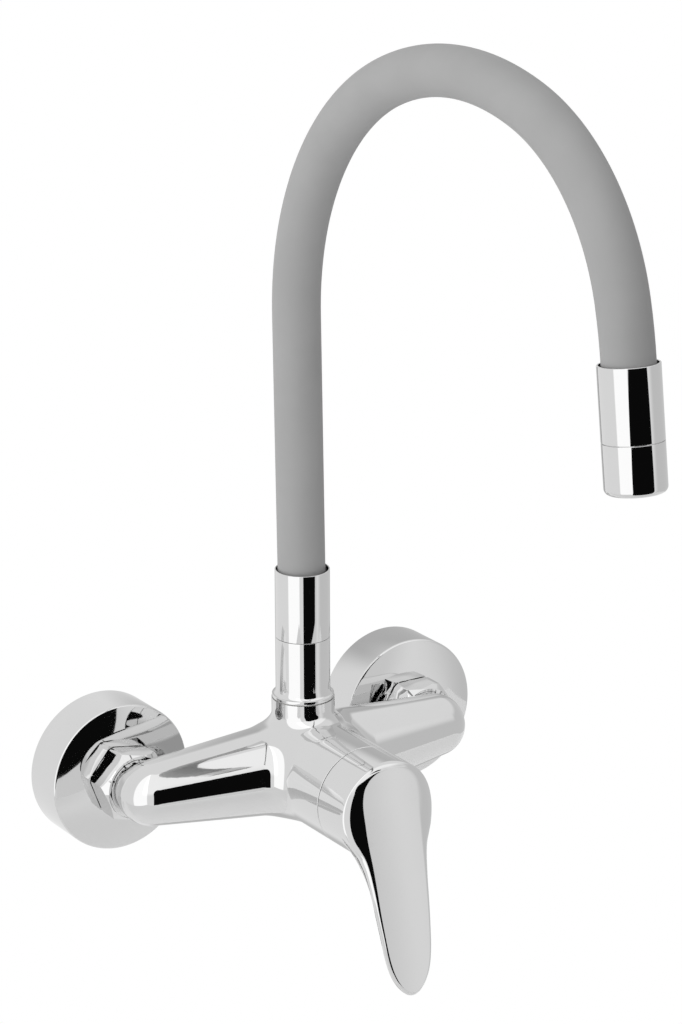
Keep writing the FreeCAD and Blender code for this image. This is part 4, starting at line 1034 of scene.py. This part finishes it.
def hose_tube(name, outer, inner, start, end, material, count=56):
    """Tube along the hose's line. Start and end are mm left off at the two ends of the line."""
    lean = math.radians(HOSE_LEAN)
    heading = Vector((0, math.sin(lean), math.cos(lean)))
    place = Vector((0, -AXIS_OUT, HOSE_ROOT_Z)) + heading * start
    bpy.ops.object.select_all(action="DESELECT")
    hose_ring(place, heading, outer, count)
    tube = bpy.context.object
    bpy.ops.object.transform_apply(location=True, rotation=True, scale=True)
    bpy.ops.object.mode_set(mode="EDIT")
    hose_ring(place, heading, inner, count)
    bpy.ops.mesh.select_all(action="SELECT")
    bpy.ops.mesh.bridge_edge_loops()
    bpy.ops.mesh.select_all(action="SELECT")
    straight = RISER - start
    for _ in range(RISER_STEPS):
        step = heading * (straight / RISER_STEPS * mm)
        bpy.ops.mesh.extrude_region_move(TRANSFORM_OT_translate={"value": step})
    place = place + heading * straight
    for radius, degrees in BENDS:
        centre = place + Vector((0, -heading.z, heading.y)) * radius
        angle = math.radians(degrees)
        steps = max(4, round(degrees / BEND_STEP))
        bpy.ops.mesh.spin(steps=steps, angle=angle, center=centre * mm, axis=(-1, 0, 0))
        place = centre + bent(place - centre, angle)
        heading = bent(heading, angle)
    for _ in range(2):
        step = heading * ((HOSE_IN_SLEEVE - end) / 2 * mm)
        bpy.ops.mesh.extrude_region_move(TRANSFORM_OT_translate={"value": step})
    bpy.ops.object.mode_set(mode="OBJECT")
    finish_mesh(tube, name, material, sharp=50)
    return tube, place, heading


hose, outlet_place, drop_heading = hose_tube("hose", HOSE_R, HOSE_BORE_R, 0, 0, silicone(), count=72)
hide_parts("hose_riser", "hose_arch", "hose_drop")
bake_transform(hose)
gooseneck, _, _ = hose_tube("gooseneck", GOOSENECK_R, GOOSENECK_BORE_R, SPIGOT, SPIGOT,
                            steel_strip())
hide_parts("gooseneck_riser", "gooseneck_arch", "gooseneck_drop")
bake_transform(gooseneck)
water_hose, _, _ = hose_tube("water_hose", WATER_HOSE_R, WATER_HOSE_BORE_R, SPIGOT, SPIGOT,
                             clear_hose())
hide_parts("water_hose_riser", "water_hose_arch", "water_hose_drop")
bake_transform(water_hose)


# Outlet
# A plated brass sleeve over the end of the hose, and the aerator's ring screwed under it with a
# hairline between them. The ring's lower edge is rounded.

END_R = 12.0
END_BORE_R = 11.3
END_INSERT = 17
END_SEAM = 28.9
END_LENGTH = 48.5
END_SPIGOT = 0.14
END_ROUND = 2.4
INSERT_R = 9.65
MOUTH_R = 8.6
MOUTH_LIP = 1.2


def along_outlet(piece):
    """Turns a piece made upwards at the origin so that it points down the outlet."""
    turn = drop_heading.to_track_quat("Z", "Y").to_matrix().to_4x4()
    turn.translation = outlet_place * mm
    piece.data.transform(turn)
    return piece


seam_low, spigot_end = END_SEAM - SEAM_GAP, END_SEAM + END_SPIGOT
profile = rounded((END_BORE_R, 0, 0.12), (END_R, 0, 0.25), (END_R, seam_low, SEAM_EDGE),
                  (END_BORE_R, seam_low), (END_BORE_R, spigot_end), (INSERT_R, spigot_end),
                  (INSERT_R, END_INSERT), (END_BORE_R, END_INSERT))
end_sleeve = along_outlet(turned("end_sleeve", profile, chrome(), outwards=False))
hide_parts("end_sleeve")
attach(end_sleeve, "outlet")

ring_top = END_SEAM + SEAM_GAP
profile = rounded((INSERT_R, ring_top), (END_R, ring_top, SEAM_EDGE), (END_R, END_LENGTH, END_ROUND),
                  (MOUTH_R, END_LENGTH, 0.3), (MOUTH_R, END_LENGTH - MOUTH_LIP),
                  (INSERT_R, END_LENGTH - MOUTH_LIP))
aerator = along_outlet(turned("aerator_ring", profile, chrome(), outwards=False))
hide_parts("aerator_ring")
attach(aerator, "outlet")


# Pieces inside
# Bare brass, steel, rubber, ceramic and moulded plastic: what the tap holds under its plating.
# They keep the shapes of the construction and get their own surfaces.

# red, green, blue, metallic, roughness
INSIDE_FINISHES = {
    "brass": (0.62, 0.42, 0.17, 1.0, 0.28),
    "steel": (0.52, 0.52, 0.52, 1.0, 0.22),
    "black_rubber": (0.02, 0.02, 0.02, 0.0, 0.6),
    "ceramic": (0.82, 0.8, 0.75, 0.0, 0.18),
    "white_plastic": (0.72, 0.72, 0.7, 0.0, 0.4),
    "grey_plastic": (0.34, 0.35, 0.36, 0.0, 0.35),
}
UNEVEN = (0.92, 1.06)


def plain_finish(slot, red, green, blue, metallic, roughness):
    """Surface of an inner piece: its colour with slight unevenness and a fine grain."""
    finish = bpy.data.materials.new(slot)
    sheet = NodeSheet(finish)
    place = sheet.part(sheet.node("ShaderNodeTexCoord"), "Object")
    cloud = sheet.node("ShaderNodeTexNoise", None, Vector=place, Scale=220.0, Detail=4.0)
    grain = sheet.node("ShaderNodeTexNoise", None, Vector=place, Scale=1800.0, Detail=2.0)
    mixed = sheet.node("ShaderNodeMix", {"data_type": "RGBA"})
    inputs = mixed.output.node.inputs
    sheet.tree.links.new(cloud.output, inputs["Factor"])
    # a Mix node's two colours are its inputs 6 and 7
    for number, shade in zip((6, 7), UNEVEN):
        inputs[number].default_value = (red * shade, green * shade, blue * shade, 1)
    colour = sheet.part(mixed, 2)
    bump = sheet.node("ShaderNodeBump", None, Strength=0.1, Distance=0.0001, Height=grain)
    skin = sheet.node("ShaderNodeBsdfPrincipled", None, Base_Color=colour, Metallic=metallic,
                      Roughness=roughness + 0.1 * cloud, Normal=bump)
    sheet.node("ShaderNodeOutputMaterial", None, skin)
    return finish


inside = {slot: plain_finish(slot, *numbers) for slot, numbers in INSIDE_FINISHES.items()}
inside["chrome"] = chrome()
inside["silicone"] = bpy.data.materials["grey_silicone"]
for entry in frame["record"]["subparts"]:
    node = frame["nodes"][entry["node"]]
    node.data.materials.clear()
    node.data.materials.append(inside[entry["material_slot"]])
